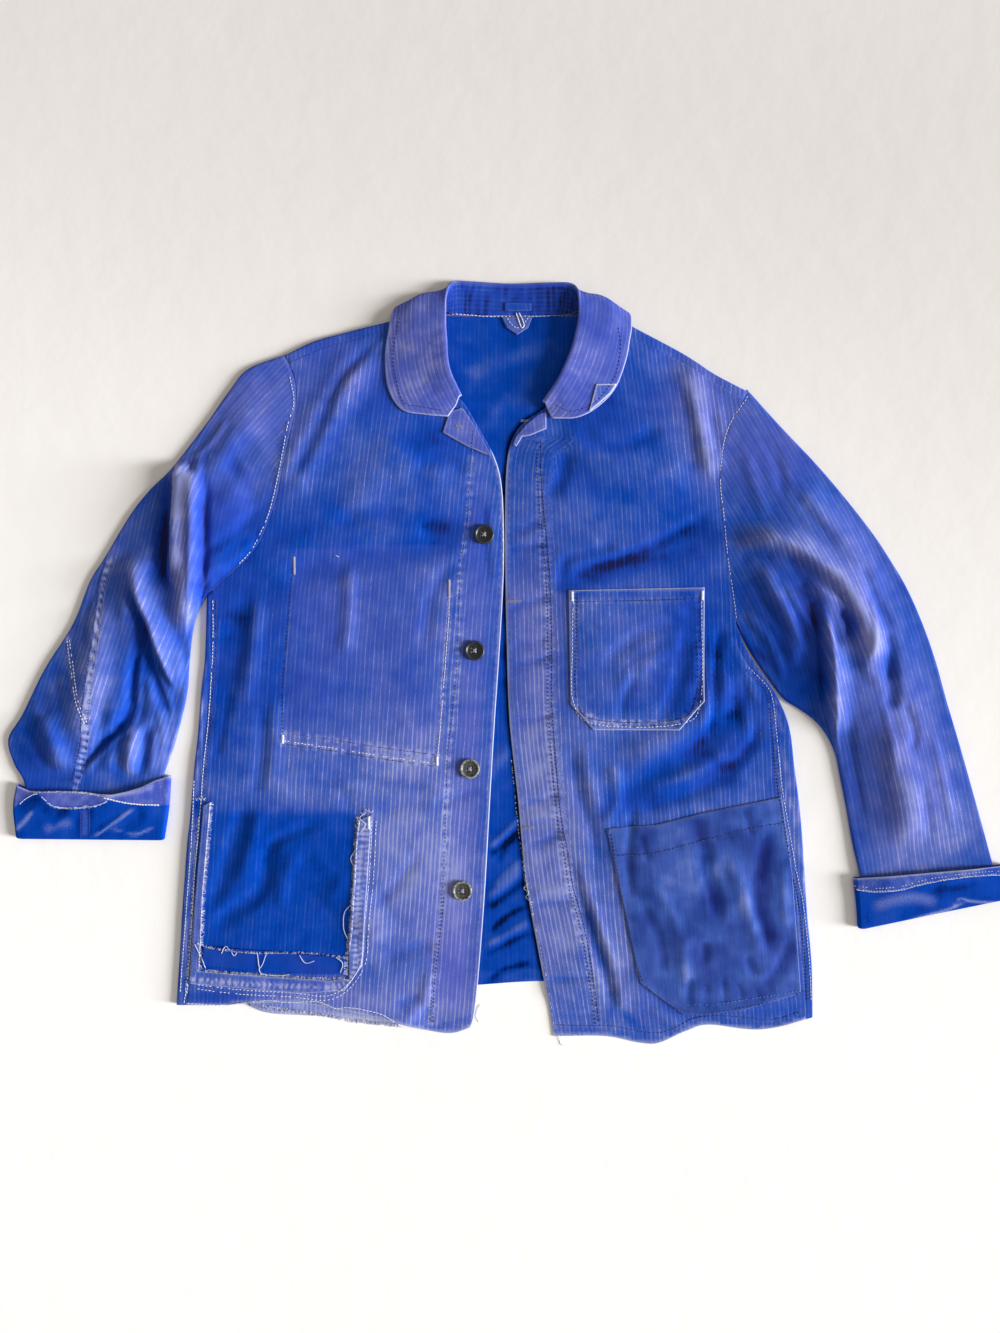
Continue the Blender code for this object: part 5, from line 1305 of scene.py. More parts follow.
class Front:
    """A front: its border on the sleeve, side and shoulder, its front edge and its form."""

    def __init__(self, side_seam, front_edge, shoulder_seam, armhole, grain, band, seams, folds):
        self.arm = armhole_points(armhole)
        self.side = curve([self.arm[-2]] + side_seam)
        self.shoulder = curve([self.arm[1]] + shoulder_seam)
        self.border = np.vstack([self.side[::-1], self.arm[1:-2][::-1], self.shoulder[1:]])
        self.edge = spline(front_edge, 5)
        self.grain_of = grain
        self.band = band
        self.seams = seams
        self.folds = folds

    def fine(self, points):
        """Small relief beyond the main form, and the wear of its ridges."""
        height, wear = seam_relief(points, self.seams)
        away = nearest(points, self.edge)[0]
        height += creases(points, self.folds)
        height += 0.50 * noise(points, 34, 11) + 0.24 * noise(points, 13, 12)
        height += BAND_STEP * smoothstep((self.band - away) / 3)
        return height, wear

    def mid(self, points):
        """Height of the front's middle surface."""
        points = np.asarray(points, float)
        from_border = nearest(points, self.border)[0]
        from_edge = nearest(points, self.edge)[0]
        puff = FRONT_PUFF * smoothstep(from_border / PUFF_FROM_BORDER)
        puff = puff * smoothstep(from_edge / PUFF_FROM_EDGE)
        body = REST + (EDGE_TOP - REST) * smoothstep(from_edge / RISE_FROM_EDGE) + puff
        fine = self.fine(points)[0] * smoothstep(from_border / 8) * smoothstep((from_edge + 2) / 10)
        height = np.maximum(body + creases(points, FOLDS) + fine, REST) + neck_lift(points)
        drop = smoothstep((past_back_hem(points) - 5) / DROP_PAST_HEM)
        drop = drop * smoothstep((from_border - 4) / DROP_FADING)
        drop *= smoothstep((points[:, 0] - HEM_TURNING[-1][0]) / DROP_FADING)
        return height * (1 - drop) + (BACK_MID + 0.1 + np.maximum(fine, 0) * 0.6) * drop

    def top(self, points):
        return self.mid(points) + CLOTH / 2

    def grain(self, points):
        """Where points are in the weave: the band beside the front edge has its stripes along the edge."""
        grain = self.grain_of(points)
        away, _, _, share = nearest(points, self.edge)
        along = share * lengths(self.edge)[-1]
        in_band = ((away < self.band) & (points[:, 1] < FLAP_END + 8))[:, None]
        return np.where(in_band, np.column_stack([away, -along]), grain)


def mesh_plan(outline, spacing=PANEL_GRID, dense=None):
    """Plan points and triangles inside an outline, closer together inside the dense polygon."""
    outline = np.asarray(outline, float)
    kept = np.vstack([outline, beside_edge(outline)])
    grid = grid_points(outline, spacing)
    if dense is not None:
        close = grid_points(dense, spacing * DENSER)
        close = close[inside(close, outline)]
        grid = np.vstack([grid[~inside(grid, dense)], clear_of(close, kept, spacing * DENSER * CLEARANCE)])
    kept = np.vstack([kept, clear_of(grid, outline, spacing * CLEARANCE)])
    return triangles(kept, ring_edges([outline]), 1e-5)


def ring_edges(rings):
    """The edges of closed rings of points that follow each other."""
    edges, count = [], 0
    for ring in rings:
        edges += [(count + i, count + (i + 1) % len(ring)) for i in range(len(ring))]
        count += len(ring)
    return edges


def triangles(points, edges, closeness):
    """Plan points and triangles with the edges kept."""
    verts, _, faces, *_ = delaunay_2d_cdt([Vector(p) for p in points], edges, [], 1, closeness)
    return np.array([tuple(v) for v in verts]), [tuple(f) for f in faces]


def beside_edge(outline):
    """Points just inside a closed outline, so that the wear of its edge stays narrow."""
    ahead, behind = np.roll(outline, -1, axis=0), np.roll(outline, 1, axis=0)
    along = ahead - behind
    along /= np.maximum(np.linalg.norm(along, axis=1), 1e-9)[:, None]
    square = np.stack([-along[:, 1], along[:, 0]], axis=1) * EDGE_INSET
    for way in (1, -1):
        inner = outline + square * way
        is_in = inside(inner, outline)
        if is_in.mean() > 0.5:
            inner = inner[is_in]
            return inner[nearest(inner, np.vstack([outline, outline[:1]]))[0] > EDGE_INSET * 0.8]
    return outline[:0]


def below_flap(points):
    """1 on the fronts, falling to 0 where their upper corners are turned out."""
    return smoothstep((FLAP_END - points[:, 1]) / 12)


def front_look(front, points, extra_wear=0.0):
    """The Looks of a front's two sides."""
    _, wear = front.fine(points)
    relief = creases(points, FOLDS) + creases(points, front.folds)
    from_edge = nearest(points, front.edge)[0]
    # Paler on the folds' ridges, partly wear and partly painted highlight, and darker in their troughs,
    # painted shade
    fade = fade_and_painted_light_at(points) + 0.075 * relief + wear * 0.5
    wear = 0.16 * wear + 0.75 * bell(from_edge / WORN_EDGE) * below_flap(points) + extra_wear
    grain = front.grain(points)
    return Look(grain, fade, wear, 1.0, tint_at(points)), inner_look(grain)


def inner_look(grain):
    """The cloth's unfaded side."""
    return Look(grain, 0.02, 0.0, 0.25)


def make_front(name, front, hem, front_edge, neck, relook=lambda plan, outer: outer):
    """A front's cloth; relook changes the Look of its outer side."""
    around = [front.side, curve(hem)[::-1], curve(front_edge)[::-1], curve(neck), front.shoulder[::-1],
              front.arm[1:-1]]
    plan, faces = mesh_plan(np.vstack([line[:-1] for line in around]))
    points = np.column_stack([plan, front.mid(plan)])
    from_hem = nearest(plan, curve(hem))[0]
    outer, inner = front_look(front, plan, 0.5 * bell(from_hem / 2.5))
    faces = oriented(points, faces, points[0], (0, 0, 1))
    return cloth(name, points, faces, CLOTH, relook(plan, outer), inner, worn_cloth,
                 0.8 * below_flap(plan))


def left_front_look(plan, outer):
    """Unfaded where the torn pocket was and a little paler over the inner pocket."""
    under = inside(plan, UNFADED) * (1 - smoothstep((plan[:, 1] - UNFADED_TOP) / 12))
    deep = 0.07 + 0.07 * noise(plan, 24, 71) + 0.05 * noise(plan, 9, 72)
    on_pocket = 0.10 * inside(plan, GHOST_POCKET)
    fade = outer.fade * (1 - under) + deep * under + on_pocket
    return Look(outer.grain, fade, outer.wear * (1 - under), 1 - 0.2 * under,
                outer.shade * (1 - under) + on_pocket)


def folded_edge(edge, seam, front, lift):
    """Rows of points that carry the back round a fold, up to a seam on the upper layer and in under it."""
    edge, seam = np.asarray(edge, float), np.asarray(seam, float)
    inward = seam - edge
    width = np.linalg.norm(inward, axis=1)
    inward /= width[:, None]
    low = BACK_MID + lift
    seam_mid = front.mid(seam)
    top = (seam_mid + EDGE_TOP + lift) / 2
    radius = (top - low) / 2
    rows = []
    for turn in np.radians(FOLD_TURNS):
        out = FOLD_RADIUS * (1 - math.cos(turn))
        height = low + radius * (1 + math.sin(turn))
        rows.append(np.column_stack([edge + inward * out, height]))
    for share in FOLD_SHARES:
        reach = FOLD_RADIUS + (width - FOLD_RADIUS - SEAM_GAP / 2) * share
        rows.append(np.column_stack([edge + inward * reach[:, None], top + (seam_mid - top) * share]))
    rows.append(np.column_stack([seam - inward * SEAM_GAP / 2, seam_mid]))
    rows.append(np.column_stack([seam + inward * TUCK, seam_mid - TUCK_DOWN]))
    return rows


def make_back(left, right):
    """The back, flat on the surface and folded up over the sides and the shoulders to their seams."""
    strips = []
    for edge, seam, corner, front in (
        (SIDE_L, SIDE_SEAM_L, left.arm[-2], left), (SIDE_R, SIDE_SEAM_R, right.arm[-2], right),
        (SHOULDER_L, SHOULDER_SEAM_L, left.arm[1], left), (SHOULDER_R, SHOULDER_SEAM_R, right.arm[1], right),
    ):
        edge_points = curve(edge, EDGE_STEP * 1.3)
        seam_line = spline([corner] + seam, 7)
        at = np.linspace(0, lengths(seam_line)[-1], len(edge_points))
        strips.append(folded_edge(edge_points, points_at(seam_line, at), front, neck_lift(edge_points)))
    side_l, side_r, shoulder_l, shoulder_r = strips
    outline = np.vstack([
        side_l[0][:, :2], curve(BACK_HEM)[1:-1], side_r[0][::-1, :2], right.arm[1:-1][::-1],
        shoulder_r[0][:, :2], curve(BACK_NECK)[1:-1][::-1], shoulder_l[0][::-1, :2], left.arm[1:-1],
    ])
    plan, faces = mesh_plan(outline, BACK_GRID, OPENING)
    points = np.column_stack([plan, back_mid(plan)])
    count = len(plan)
    for strip in strips:
        first = [int(np.argmin(np.linalg.norm(plan - p[:2], axis=1))) for p in strip[0]]
        rest = np.vstack(strip[1:])
        numbers = np.concatenate([first, np.arange(len(points), len(points) + len(rest))])
        points = np.vstack([points, rest])
        faces = faces + [tuple(int(numbers[i]) for i in f) for f in quads(len(strip), len(strip[0]))]
    faces = oriented(points, faces, (0, -200, BACK_MID), (0, 0, -1))
    seam_wear = seam_relief(points[:, :2], EDGE_SEAMS)[1]
    grain = np.vstack([grain_back(points[:count]), grain_back(points[count:, :2])])
    fade = fade_and_painted_light_at(points) + 0.4 * seam_wear
    outer = Look(grain, fade, 0.3 * seam_wear, 1.0, tint_at(points[:, :2]))
    relief = creases(points[:, :2], BACK_FOLDS)
    in_hem = smoothstep((14 + past_back_hem(points)) / 1.5)
    # Between the fronts the back lies in their shade, so its creases are painted: lighter on the ridges,
    # darker in the troughs
    deep = 0.10 + 0.10 * noise(points, 30, 8) + 0.08 * noise(points, 10, 9) + 0.42 * relief + 0.16 * in_hem
    # Painted shadow: darker beside the right front's edge, where that edge shades the back
    deep = deep - 0.5 * bell(nearest(points[:, :2], right.edge)[0] / PAINTED_SHADOW_REACH)
    inner = Look(grain, deep, stripe=0.5)
    return cloth("back", points, faces, CLOTH, outer, inner, worn_cloth)


def back_mid(plan):
    """The back's middle surface: flat, but for small creases on what shows between the fronts."""
    height = np.clip(BACK_CREASE_TOP / 2 + creases(plan, BACK_FOLDS), 0, 2 * BACK_CREASE_TOP)
    middle, half, fading = SHOWN_BACK
    shown = smoothstep((half - np.abs(plan[:, 0] - middle)) / fading)
    half, fading = SHOWN_HEIGHT
    shown = shown * smoothstep((half - np.abs(plan[:, 1])) / fading)
    return BACK_MID + height * shown + neck_lift(plan)


def quads(rows, columns, ring=False):
    """Faces of a grid of points; in a ring the last column meets the first."""
    faces = []
    for r in range(rows - 1):
        for c in range(columns if ring else columns - 1):
            a, b = r * columns + c, r * columns + (c + 1) % columns
            faces.append((a, b, b + columns, a + columns))
    return faces


def across(outer, inner, count, set_in):
    """Plan points of a straight ring between its two folds, the first and last close to them."""
    outer, inner = np.asarray(outer, float), np.asarray(inner, float)
    width = np.linalg.norm(inner - outer)
    share = np.concatenate([[set_in], np.linspace(0, width, count)[1:-1], [width - set_in]]) / width
    return outer + share[:, None] * (inner - outer)


def fanned(seam, pairs, k, side):
    """Plan points of a ring between the curved armhole and the first straight ring."""
    count = len(seam) - 2
    straight = across(*pairs[FAN_RINGS], count, SEAM_SET_IN)
    u = k / FAN_RINGS
    first, last = np.array(pairs[0], float), np.array(pairs[FAN_RINGS], float)
    shift = np.array(pairs[k], float) - (first * (1 - u) + last * u)
    v = np.linspace(0, 1, count)[:, None]
    line = seam[1:-1] * (1 - u) + straight * u + shift[0] * (1 - v) + shift[1] * v
    from_pit = (seam[-3] - seam[-1]) / np.linalg.norm(seam[-3] - seam[-1])
    away = np.array([-from_pit[1], from_pit[0]]) * -side
    line = line + away * FAN_BULGE[k] * smoothstep((v - 0.5) / 0.4)
    for end, fold, turn in ((0, 0, side), (-1, 1, -side)):
        along = np.array(pairs[k + 1][fold], float) - pairs[k - 1][fold]
        along /= np.linalg.norm(along)
        square = np.array([along[1], -along[0]]) * turn
        if fold:
            square = (square + away) / np.linalg.norm(square + away)
        line[end] = pairs[k][fold] + square * FAN_SET_IN[k]
    return line


def clustered(count, closeness):
    """Shares from 0 to 1 that lie closer together near the ends."""
    t = np.linspace(0, 1, count)
    return t - closeness * np.sin(2 * math.pi * t) / (2 * math.pi)


UPPER_SHARES = clustered(UPPER_POINTS, 0.78)
LOWER_SHARES = clustered(LOWER_POINTS, 0.85)[1:-1]


def roundness(distance):
    """How far a flattened tube's layer is from its middle height, at a distance from its folded edge."""
    x = 1 - np.clip(distance / EDGE_ROUND, 0, 1)
    return np.sqrt(np.maximum(1 - x * x, 0))


def ring_at(row, low, high_of):
    """A flattened ring over a plan row: its upper layer from end to end and its lower layer back."""
    whole = lengths(row)[-1]
    upper, lower = points_at(row, whole * UPPER_SHARES), points_at(row, whole * LOWER_SHARES)
    from_end = whole * np.minimum(UPPER_SHARES, 1 - UPPER_SHARES)
    high = high_of(upper, from_end)
    ends = (low + high[[0, -1]]) / 2
    middle = ends[0] + (ends[1] - ends[0]) * UPPER_SHARES
    z_up = middle + (high - middle) * roundness(from_end)
    middle = ends[0] + (ends[1] - ends[0]) * LOWER_SHARES
    from_end = whole * np.minimum(LOWER_SHARES, 1 - LOWER_SHARES)
    z_low = middle - (middle - low) * roundness(from_end)
    return np.vstack([np.column_stack([upper, z_up]), np.column_stack([lower, z_low])[::-1]])


def ring_grain(row, along):
    """Where a ring's points are in the weave, with the grain along the sleeve."""
    whole = lengths(row)[-1]
    across_share = np.concatenate([UPPER_SHARES - 0.5, 1.5 - LOWER_SHARES[::-1]])
    return np.column_stack([across_share * whole, np.full(len(across_share), -along)])


def sleeve_grain(flat, upper, middle_line):
    """Where a sleeve's points are in the weave: the stripes run along the sleeve's middle line."""
    away, foot, way, share = nearest(flat, middle_line)
    offset = flat - foot
    across_it = np.where(way[:, 0] * offset[:, 1] - way[:, 1] * offset[:, 0] > 0, away, -away)
    turned = np.where(upper, across_it, SLEEVE_WIDTH - across_it)
    return np.column_stack([turned, -share * lengths(middle_line)[-1]])


def sleeve_rows(pairs, armhole, side):
    """Plan rows from the armhole to inside the cuff, each from the outer to the inner fold."""
    seam = armhole_points(armhole, COARSE_STEP)
    seam = seam + normals_2d(seam) * SEAM_GAP / 2 * side
    rows = []
    for k, ends in enumerate(pairs):
        if k == 0:
            line = seam[1:-1]
        elif k < FAN_RINGS:
            line = fanned(seam, pairs, k, side)
        else:
            line = across(*ends, len(seam) - 2, FOLD_RADIUS)
        rows.append(np.vstack([ends[0], line, ends[1]]))
    return np.array(rows)


def make_sleeve(name, pairs, armhole, side, folds, seams):
    """A sleeve and its last plan row: rings from under the armhole seam to inside its cuff.

    side is -1 on the left and 1 on the right.
    """
    coarse = sleeve_rows(pairs, armhole, side)
    count = len(coarse)
    plan = spline(coarse.reshape(count, -1), SLEEVE_BETWEEN).reshape(-1, *coarse.shape[1:])
    rings = []
    for number, row in enumerate(plan):
        k = number / (SLEEVE_BETWEEN + 1)
        in_cuff = smoothstep((k - (count - 4.4)) / 1.2)
        low = BACK_MID + CUFF_STEP * in_cuff
        thick = low + 2 * (FOLD_RADIUS + (INNER_FOLD_RADIUS - FOLD_RADIUS) * in_cuff)

        def high_of(points, from_end, k=k, in_cuff=in_cuff, thick=thick):
            puff = SLEEVE_PUFF * smoothstep(k / 3) * smoothstep(from_end / 60)
            relief = creases(points, FOLDS) + creases(points, folds) * smoothstep(k / 0.6)
            fine = seam_relief(points, seams)[0] + 0.5 * noise(points, 30, 21) + 0.18 * noise(points, 12, 22)
            relief = relief + fine * smoothstep(k / 0.3)
            relief *= smoothstep(from_end / 12) if k > 0 else 1.0
            raised = (puff + relief) * (1 - in_cuff) + neck_lift(points)
            return np.maximum(thick + raised, thick)

        rings.append(ring_at(row, low, high_of))
    first = rings[0].copy()
    pushed = rings[0][:, :2] - rings[1][:, :2]
    pushed /= np.maximum(np.linalg.norm(pushed, axis=1), 1e-6)[:, None]
    middle = (first[0, 2] + first[len(UPPER_SHARES) - 1, 2]) / 2
    first[:, :2] += pushed * TUCK
    first[:, 2] += np.where(first[:, 2] > middle, -1, 1) * np.minimum(np.abs(first[:, 2] - middle),
                                                                      TUCK_DOWN)
    rings = np.array([first] + rings)
    points = rings.reshape(-1, 3)
    above_middle = (*plan[len(plan) // 2].mean(axis=0), 30)
    faces = oriented(points, quads(len(rings), rings.shape[1], ring=True), above_middle, (0, 0, 1))
    flat = points[:, :2]
    relief = creases(flat, FOLDS) + creases(flat, folds)
    upper = np.tile(np.arange(rings.shape[1]) < len(UPPER_SHARES), len(rings))
    grain = sleeve_grain(flat, upper, spline(SLEEVE_MIDDLES[side], 6))
    seam_wear = seam_relief(flat, seams)[1] * upper
    from_arm = nearest(flat, armhole_points(armhole))[0]
    # Paler on the sleeve's ridges, partly wear and partly painted highlight, and darker in its troughs,
    # painted shade
    fade = fade_and_painted_light_at(flat) + 0.04 * relief * upper + 0.5 * seam_wear
    worn = 0.16 * seam_wear + 0.25 * bell(from_arm / 1.6) * (0.6 + 0.4 * noise(flat, 8, 31))
    outer = Look(grain, fade, worn, 0.62, tint_at(flat))
    obj = cloth(name, points, faces, CLOTH, outer, inner_look(grain), worn_cloth)
    return obj, plan[-1]


def make_cuff(name, pairs, last_row, direction, hem_fade, hem_line, edge=None):
    """A turned-back cuff: from the sleeve's end down, round the fold, and up outside the sleeve.

    hem_line is the plan line where its hem ends and edge the one of its upper edge, where that is wavy.
    """
    down = np.array([*direction, 0.0])
    high = BACK_MID + 2 * CUFF_STEP + 2 * INNER_FOLD_RADIUS
    coarse = np.array([across(*ends, CUFF_POINTS, FOLD_RADIUS) for ends in pairs], float)
    coarse = np.array([np.vstack([ends[0], row, ends[1]]) for ends, row in zip(pairs, coarse)])
    plan = spline(coarse.reshape(len(coarse), -1), CUFF_BETWEEN).reshape(-1, *coarse.shape[1:])
    outside, grains = [], []
    for number, row in enumerate(plan):
        share = number / (len(plan) - 1)
        if edge is not None:
            line = np.array(edge)
            drop = np.interp(plan[-1][:, 0], line[:, 0], line[:, 1]) - plan[-1][:, 1]
            row = row + np.column_stack([np.zeros(len(row)), drop * smoothstep((share - 0.3) / 0.7)])

        def high_of(points, from_end, share=share):
            wave = 0.9 * noise(points, 21, 41) * smoothstep(share / 0.5) + creases(points, CUFF_FOLDS)
            wave *= smoothstep(from_end / 12)
            hem = CUFF_HEM_STEP * smoothstep((share - 0.62) / 0.06)
            return high + (CUFF_PUFF + wave) * share * smoothstep(from_end / 40) + hem

        outside.append(ring_at(row, BACK_MID, high_of))
        grains.append(ring_grain(row, -share * CUFF_DEPTH))
    inner_low = BACK_MID + CUFF_STEP
    inner_high = inner_low + 2 * INNER_FOLD_RADIUS
    start = ring_at(last_row, inner_low, lambda points, from_end: np.full(len(points), inner_high))
    start = start + down * SEAM_GAP
    at_fold = start.copy()
    at_fold[:, :2] += outside[0][:, :2].mean(axis=0) - start[:, :2].mean(axis=0)
    rings = [start, (start + at_fold) / 2]
    for turn in np.linspace(0, math.pi, CUFF_FOLD_STEPS):
        middle = (at_fold + outside[0]) / 2
        half = (at_fold - outside[0]) / 2
        rings.append(middle + half * math.cos(turn) + down * CUFF_FOLD_OUT * math.sin(turn))
    hidden = len(rings)
    rings = np.array(rings + outside[1:])
    grain = np.vstack([grains[0]] * hidden + grains[1:])
    points = rings.reshape(-1, 3)
    above_edge = (*plan[-1].mean(axis=0), 30)
    faces = oriented(points, quads(len(rings), rings.shape[1], ring=True), above_edge, (0, 0, 1))
    share = np.repeat(np.concatenate([np.zeros(hidden), np.linspace(0, 1, len(outside))[1:]]),
                      rings.shape[1])
    line = np.array(hem_line)
    above = points[:, 1] - np.interp(points[:, 0], line[:, 0], line[:, 1])
    in_hem = smoothstep(above / 1.2) * (share > 0)
    relief = creases(points[:, :2], CUFF_FOLDS)
    pucker = np.sin(2 * math.pi * points[:, 0] / 4.3 + 2 * noise(points, 12, 45)) * in_hem
    # Paler on the creases' ridges, partly wear and partly painted highlight, and darker in their troughs,
    # painted shade
    fade = 0.07 + 0.14 * noise(points, 14, 42) + 0.18 * np.maximum(relief, -0.6) + in_hem * hem_fade
    fade += 0.25 * noise(points, 10, 43) * in_hem
    fade += 0.10 * pucker
    wear = 0.10 * in_hem * (1 + noise(points, 5, 44)) + 0.16 * np.maximum(relief, 0)
    wear += 0.5 * bell((1 - share) / 0.05)
    outer = Look(grain, fade, wear, 0.3 + 0.4 * in_hem, hem_fade * in_hem)
    return cloth(name, points, faces, CLOTH, outer, Look(grain, fade_and_painted_light_at(points)), inner_cloth,
                 0.7, 0.4)


def with_edge_row(rows):
    """Rows of points with one more row just before the last."""
    gap = np.linalg.norm((rows[-1] - rows[-2]).reshape(-1, 3), axis=1).mean()
    near = rows[-1] + (rows[-2] - rows[-1]) * min(EDGE_INSET / gap, 0.5)
    return np.concatenate([rows[:-1], near[None], rows[-1:]])


def make_collar(left, right):
    """The collar: a stand up from the neck's seam, a roll, and a fall that passes under the back."""
    controls = []
    for section in COLLAR:
        front = left if section.seam[0] < 0 else right
        fall = []
        for x, y, z in (section.middle, section.edge):
            if z < 0:
                z = front.top(np.array([(x, y)], float))[0] + COLLAR_CLOTH / 2 - z
            fall.append((x, y, z))
        controls.append([section.seam, section.roll, fall[0], fall[1], (section.turn, 0, 0)])
    lines = spline(np.array(controls, float), COLLAR_BETWEEN)
    outward = normals_2d(lines[:, 1, :2])
    rows = []
    for (seam, turn_at, middle, edge, turn), out in zip(lines, outward):
        angle = math.radians(turn[0])
        level = np.array([*out, 0.0])
        up = np.array([0.0, 0.0, 1.0])
        apart = math.cos(angle) * level + math.sin(angle) * up
        back = math.sin(angle) * level - math.cos(angle) * up
        stand = turn_at + back * ROLL_SET_IN - apart * ROLL_HALF
        fall = turn_at + back * ROLL_SET_IN + apart * ROLL_HALF
        rows.append([seam, (seam + stand) / 2, stand, turn_at, fall,
                     (fall + middle) / 2, middle, (middle + edge) / 2, edge])
    rows = np.array(rows)
    fine = spline(rows.transpose(1, 0, 2).reshape(9, -1), COLLAR_ACROSS).reshape(-1, len(rows), 3)
    fine = fine.transpose(1, 0, 2)
    fine = np.array([with_edge_row(row) for row in fine])
    fine = with_edge_row(fine[::-1].reshape(len(fine), -1))[::-1]
    fine = with_edge_row(fine).reshape(len(fine) + 1, -1, 3)
    columns = fine.shape[1]
    across_at = np.array([lengths(row) for row in fine])
    roll_at = across_at[:, 3 * (COLLAR_ACROSS + 1)][:, None]
    along = lengths(fine[:, columns - 1])[:, None] + np.zeros((1, columns))
    u, v = (across_at - roll_at).ravel(), along.ravel()
    points = fine.reshape(-1, 3)
    uv = np.column_stack([v, u])
    lift = 0.32 * noise(uv, 17, 51) + 0.15 * noise(uv, 7, 52)
    on_stand = smoothstep(-u / 6)
    pucker = np.sin(2 * math.pi * (v / 8.5 + 0.3 * noise(uv, 20, 53))) * on_stand
    faces = oriented(points, quads(len(fine), columns), (5, 364.5, 3.9), (0, -1, 0.6))
    normals = vertex_normals(points, faces)
    fall_end = across_at[:, -1][:, None] - across_at
    from_edge = np.minimum(fall_end.ravel(), np.minimum(v, v.max() - v))
    raised = (lift * smoothstep(u / 6) + 0.3 * pucker) * smoothstep(from_edge / 3)
    points = points + normals * np.abs(raised)[:, None] * -1
    fade = 0.68 + 0.20 * noise(uv, 22, 54) + 0.13 * noise(uv, 6, 55) + 0.10 * pucker - 0.66 * on_stand
    wear = 0.75 * bell(from_edge / WORN_EDGE) + 0.16 * bell(np.abs(u) / 3) + 0.05 * pucker
    grain = np.column_stack([u, v])
    # Painted shade: the collar's right half is darkened, where the window lights it more
    fade -= 0.20 * smoothstep((points[:, 0] - 20) / 60)
    look = Look(grain, fade, wear, 0.85, 0.40 - 0.28 * on_stand)
    return cloth("collar_cloth", points, faces, COLLAR_CLOTH, look, look, worn_cloth, 0.95, 0.6)


def make_sewn(name, top_of, outline, thickness, look_of, puff=0.0, seams=(), folds=(), step=3.4, rim=0.8,
              material=worn_cloth):
    """A piece of cloth that lies on another: its own fine mesh, at the other's height."""
    outline = spline(np.vstack([outline, outline[:1]]), 0)[:-1]
    around = even_closed(outline, step)
    plan, faces = mesh_plan(around, step * 1.15)
    from_edge = nearest(plan, np.vstack([around, around[:1]]))[0]
    height, wear = seam_relief(plan, seams)
    height += 0.12 * noise(plan, 16, 61)
    raised = puff * smoothstep(from_edge / 36) + (creases(plan, folds) + height) * smoothstep(from_edge / 6)
    mid = top_of(plan) + LAYER_GAP + thickness / 2 + np.maximum(raised, -LAYER_GAP + 0.1)
    points = np.column_stack([plan, mid])
    outer, inner = look_of(plan, from_edge, wear)
    faces = oriented(points, faces, points[0], (0, 0, 1))
    worn_rim = rim(plan) if callable(rim) else rim
    return cloth(name, points, faces, thickness, outer, inner, material, worn_rim)


def even_closed(outline, step):
    """Points about step apart round a closed outline, its corners kept."""
    made = []
    for a, b in zip(outline, np.roll(outline, -1, axis=0)):
        count = max(1, round(np.linalg.norm(b - a) / step))
        made += [a + (b - a) * k / count for k in range(count)]
    return np.array(made)


def circle(radius, sides, middle=(0, 0)):
    """Plan points round a circle."""
    turn = 2 * math.pi * np.arange(sides) / sides
    return np.column_stack([np.cos(turn), np.sin(turn)]) * radius + middle


def make_button(name, centre, front, material, lean):
    """A button with a rounded rim, a dish with a step, four holes and crossed thread."""
    centre = np.asarray(centre, float)
    holes = [circle(BUTTON_HOLE_RADIUS, 12, (sx * BUTTON_HOLE_OFFSET, sy * BUTTON_HOLE_OFFSET))
             for sx in (-1, 1) for sy in (-1, 1)]
    rings = [circle(radius, BUTTON_SIDES) for radius in BUTTON_RADII] + holes
    plan, faces = triangles(np.vstack(rings), ring_edges(rings), 1e-6)
    centres = np.array([plan[list(f)].mean(axis=0) for f in faces])
    in_hole = np.zeros(len(faces), bool)
    for hole in holes:
        in_hole |= inside(centres, hole)
    faces = [f for f, gone in zip(faces, in_hole) if not gone]
    radius = np.linalg.norm(plan, axis=1)
    upper = np.interp(radius, BUTTON_RADII[::-1], BUTTON_HEIGHTS[::-1])
    lower = np.interp(radius, BUTTON_UNDER_RADII, BUTTON_UNDER)
    under = circle(BUTTON_RADII[0], 16) + centre
    floor = front.top(np.vstack([under, centre[None]])).max() + BUTTON_GAP
    tilt = plan @ np.array(lean)
    count = len(plan)
    points = np.vstack([np.column_stack([plan + centre, upper + floor + tilt]),
                        np.column_stack([plan + centre, lower + floor + tilt])])
    both = [tuple(f) for f in faces] + [tuple(i + count for i in reversed(f)) for f in faces]
    both += [(b, a, a + count, b + count) for a, b in boundary(faces)]
    obj = mesh_object(name, points, both, material)
    wear = np.where(radius > BUTTON_WORN_FROM, 0.75, 0.12)
    wear = wear * np.where(radius > BUTTON_RADII[0] - 0.1, 0.4, 1.0)
    set_attribute(obj.data, "wear", np.concatenate([wear, np.zeros(count)]))
    top = floor + BUTTON_HEIGHTS[-1]
    bars = []
    for sx, sy in ((1, 1), (1, -1)):
        for shift in BUTTON_THREAD_SHIFTS:
            a = centre + np.array([-sx, -sy]) * BUTTON_HOLE_OFFSET + np.array([sy, -sx]) * shift
            b = centre + np.array([sx, sy]) * BUTTON_HOLE_OFFSET + np.array([sy, -sx]) * shift
            path = [(*a, top - 1.2), (*(a * 0.94 + b * 0.06), top + 0.25), (*((a + b) / 2), top + 0.7),
                    (*(b * 0.94 + a * 0.06), top + 0.25), (*b, top - 1.2)]
            bars.append(tube(path, BUTTON_THREAD_RADIUS))
    shank = tube([(*centre, floor - 0.8), (*centre, floor + 0.4)], BUTTON_SHANK_RADIUS, 10)
    joined(name + "_thread", bars + [shank], grey_thread)
    return obj


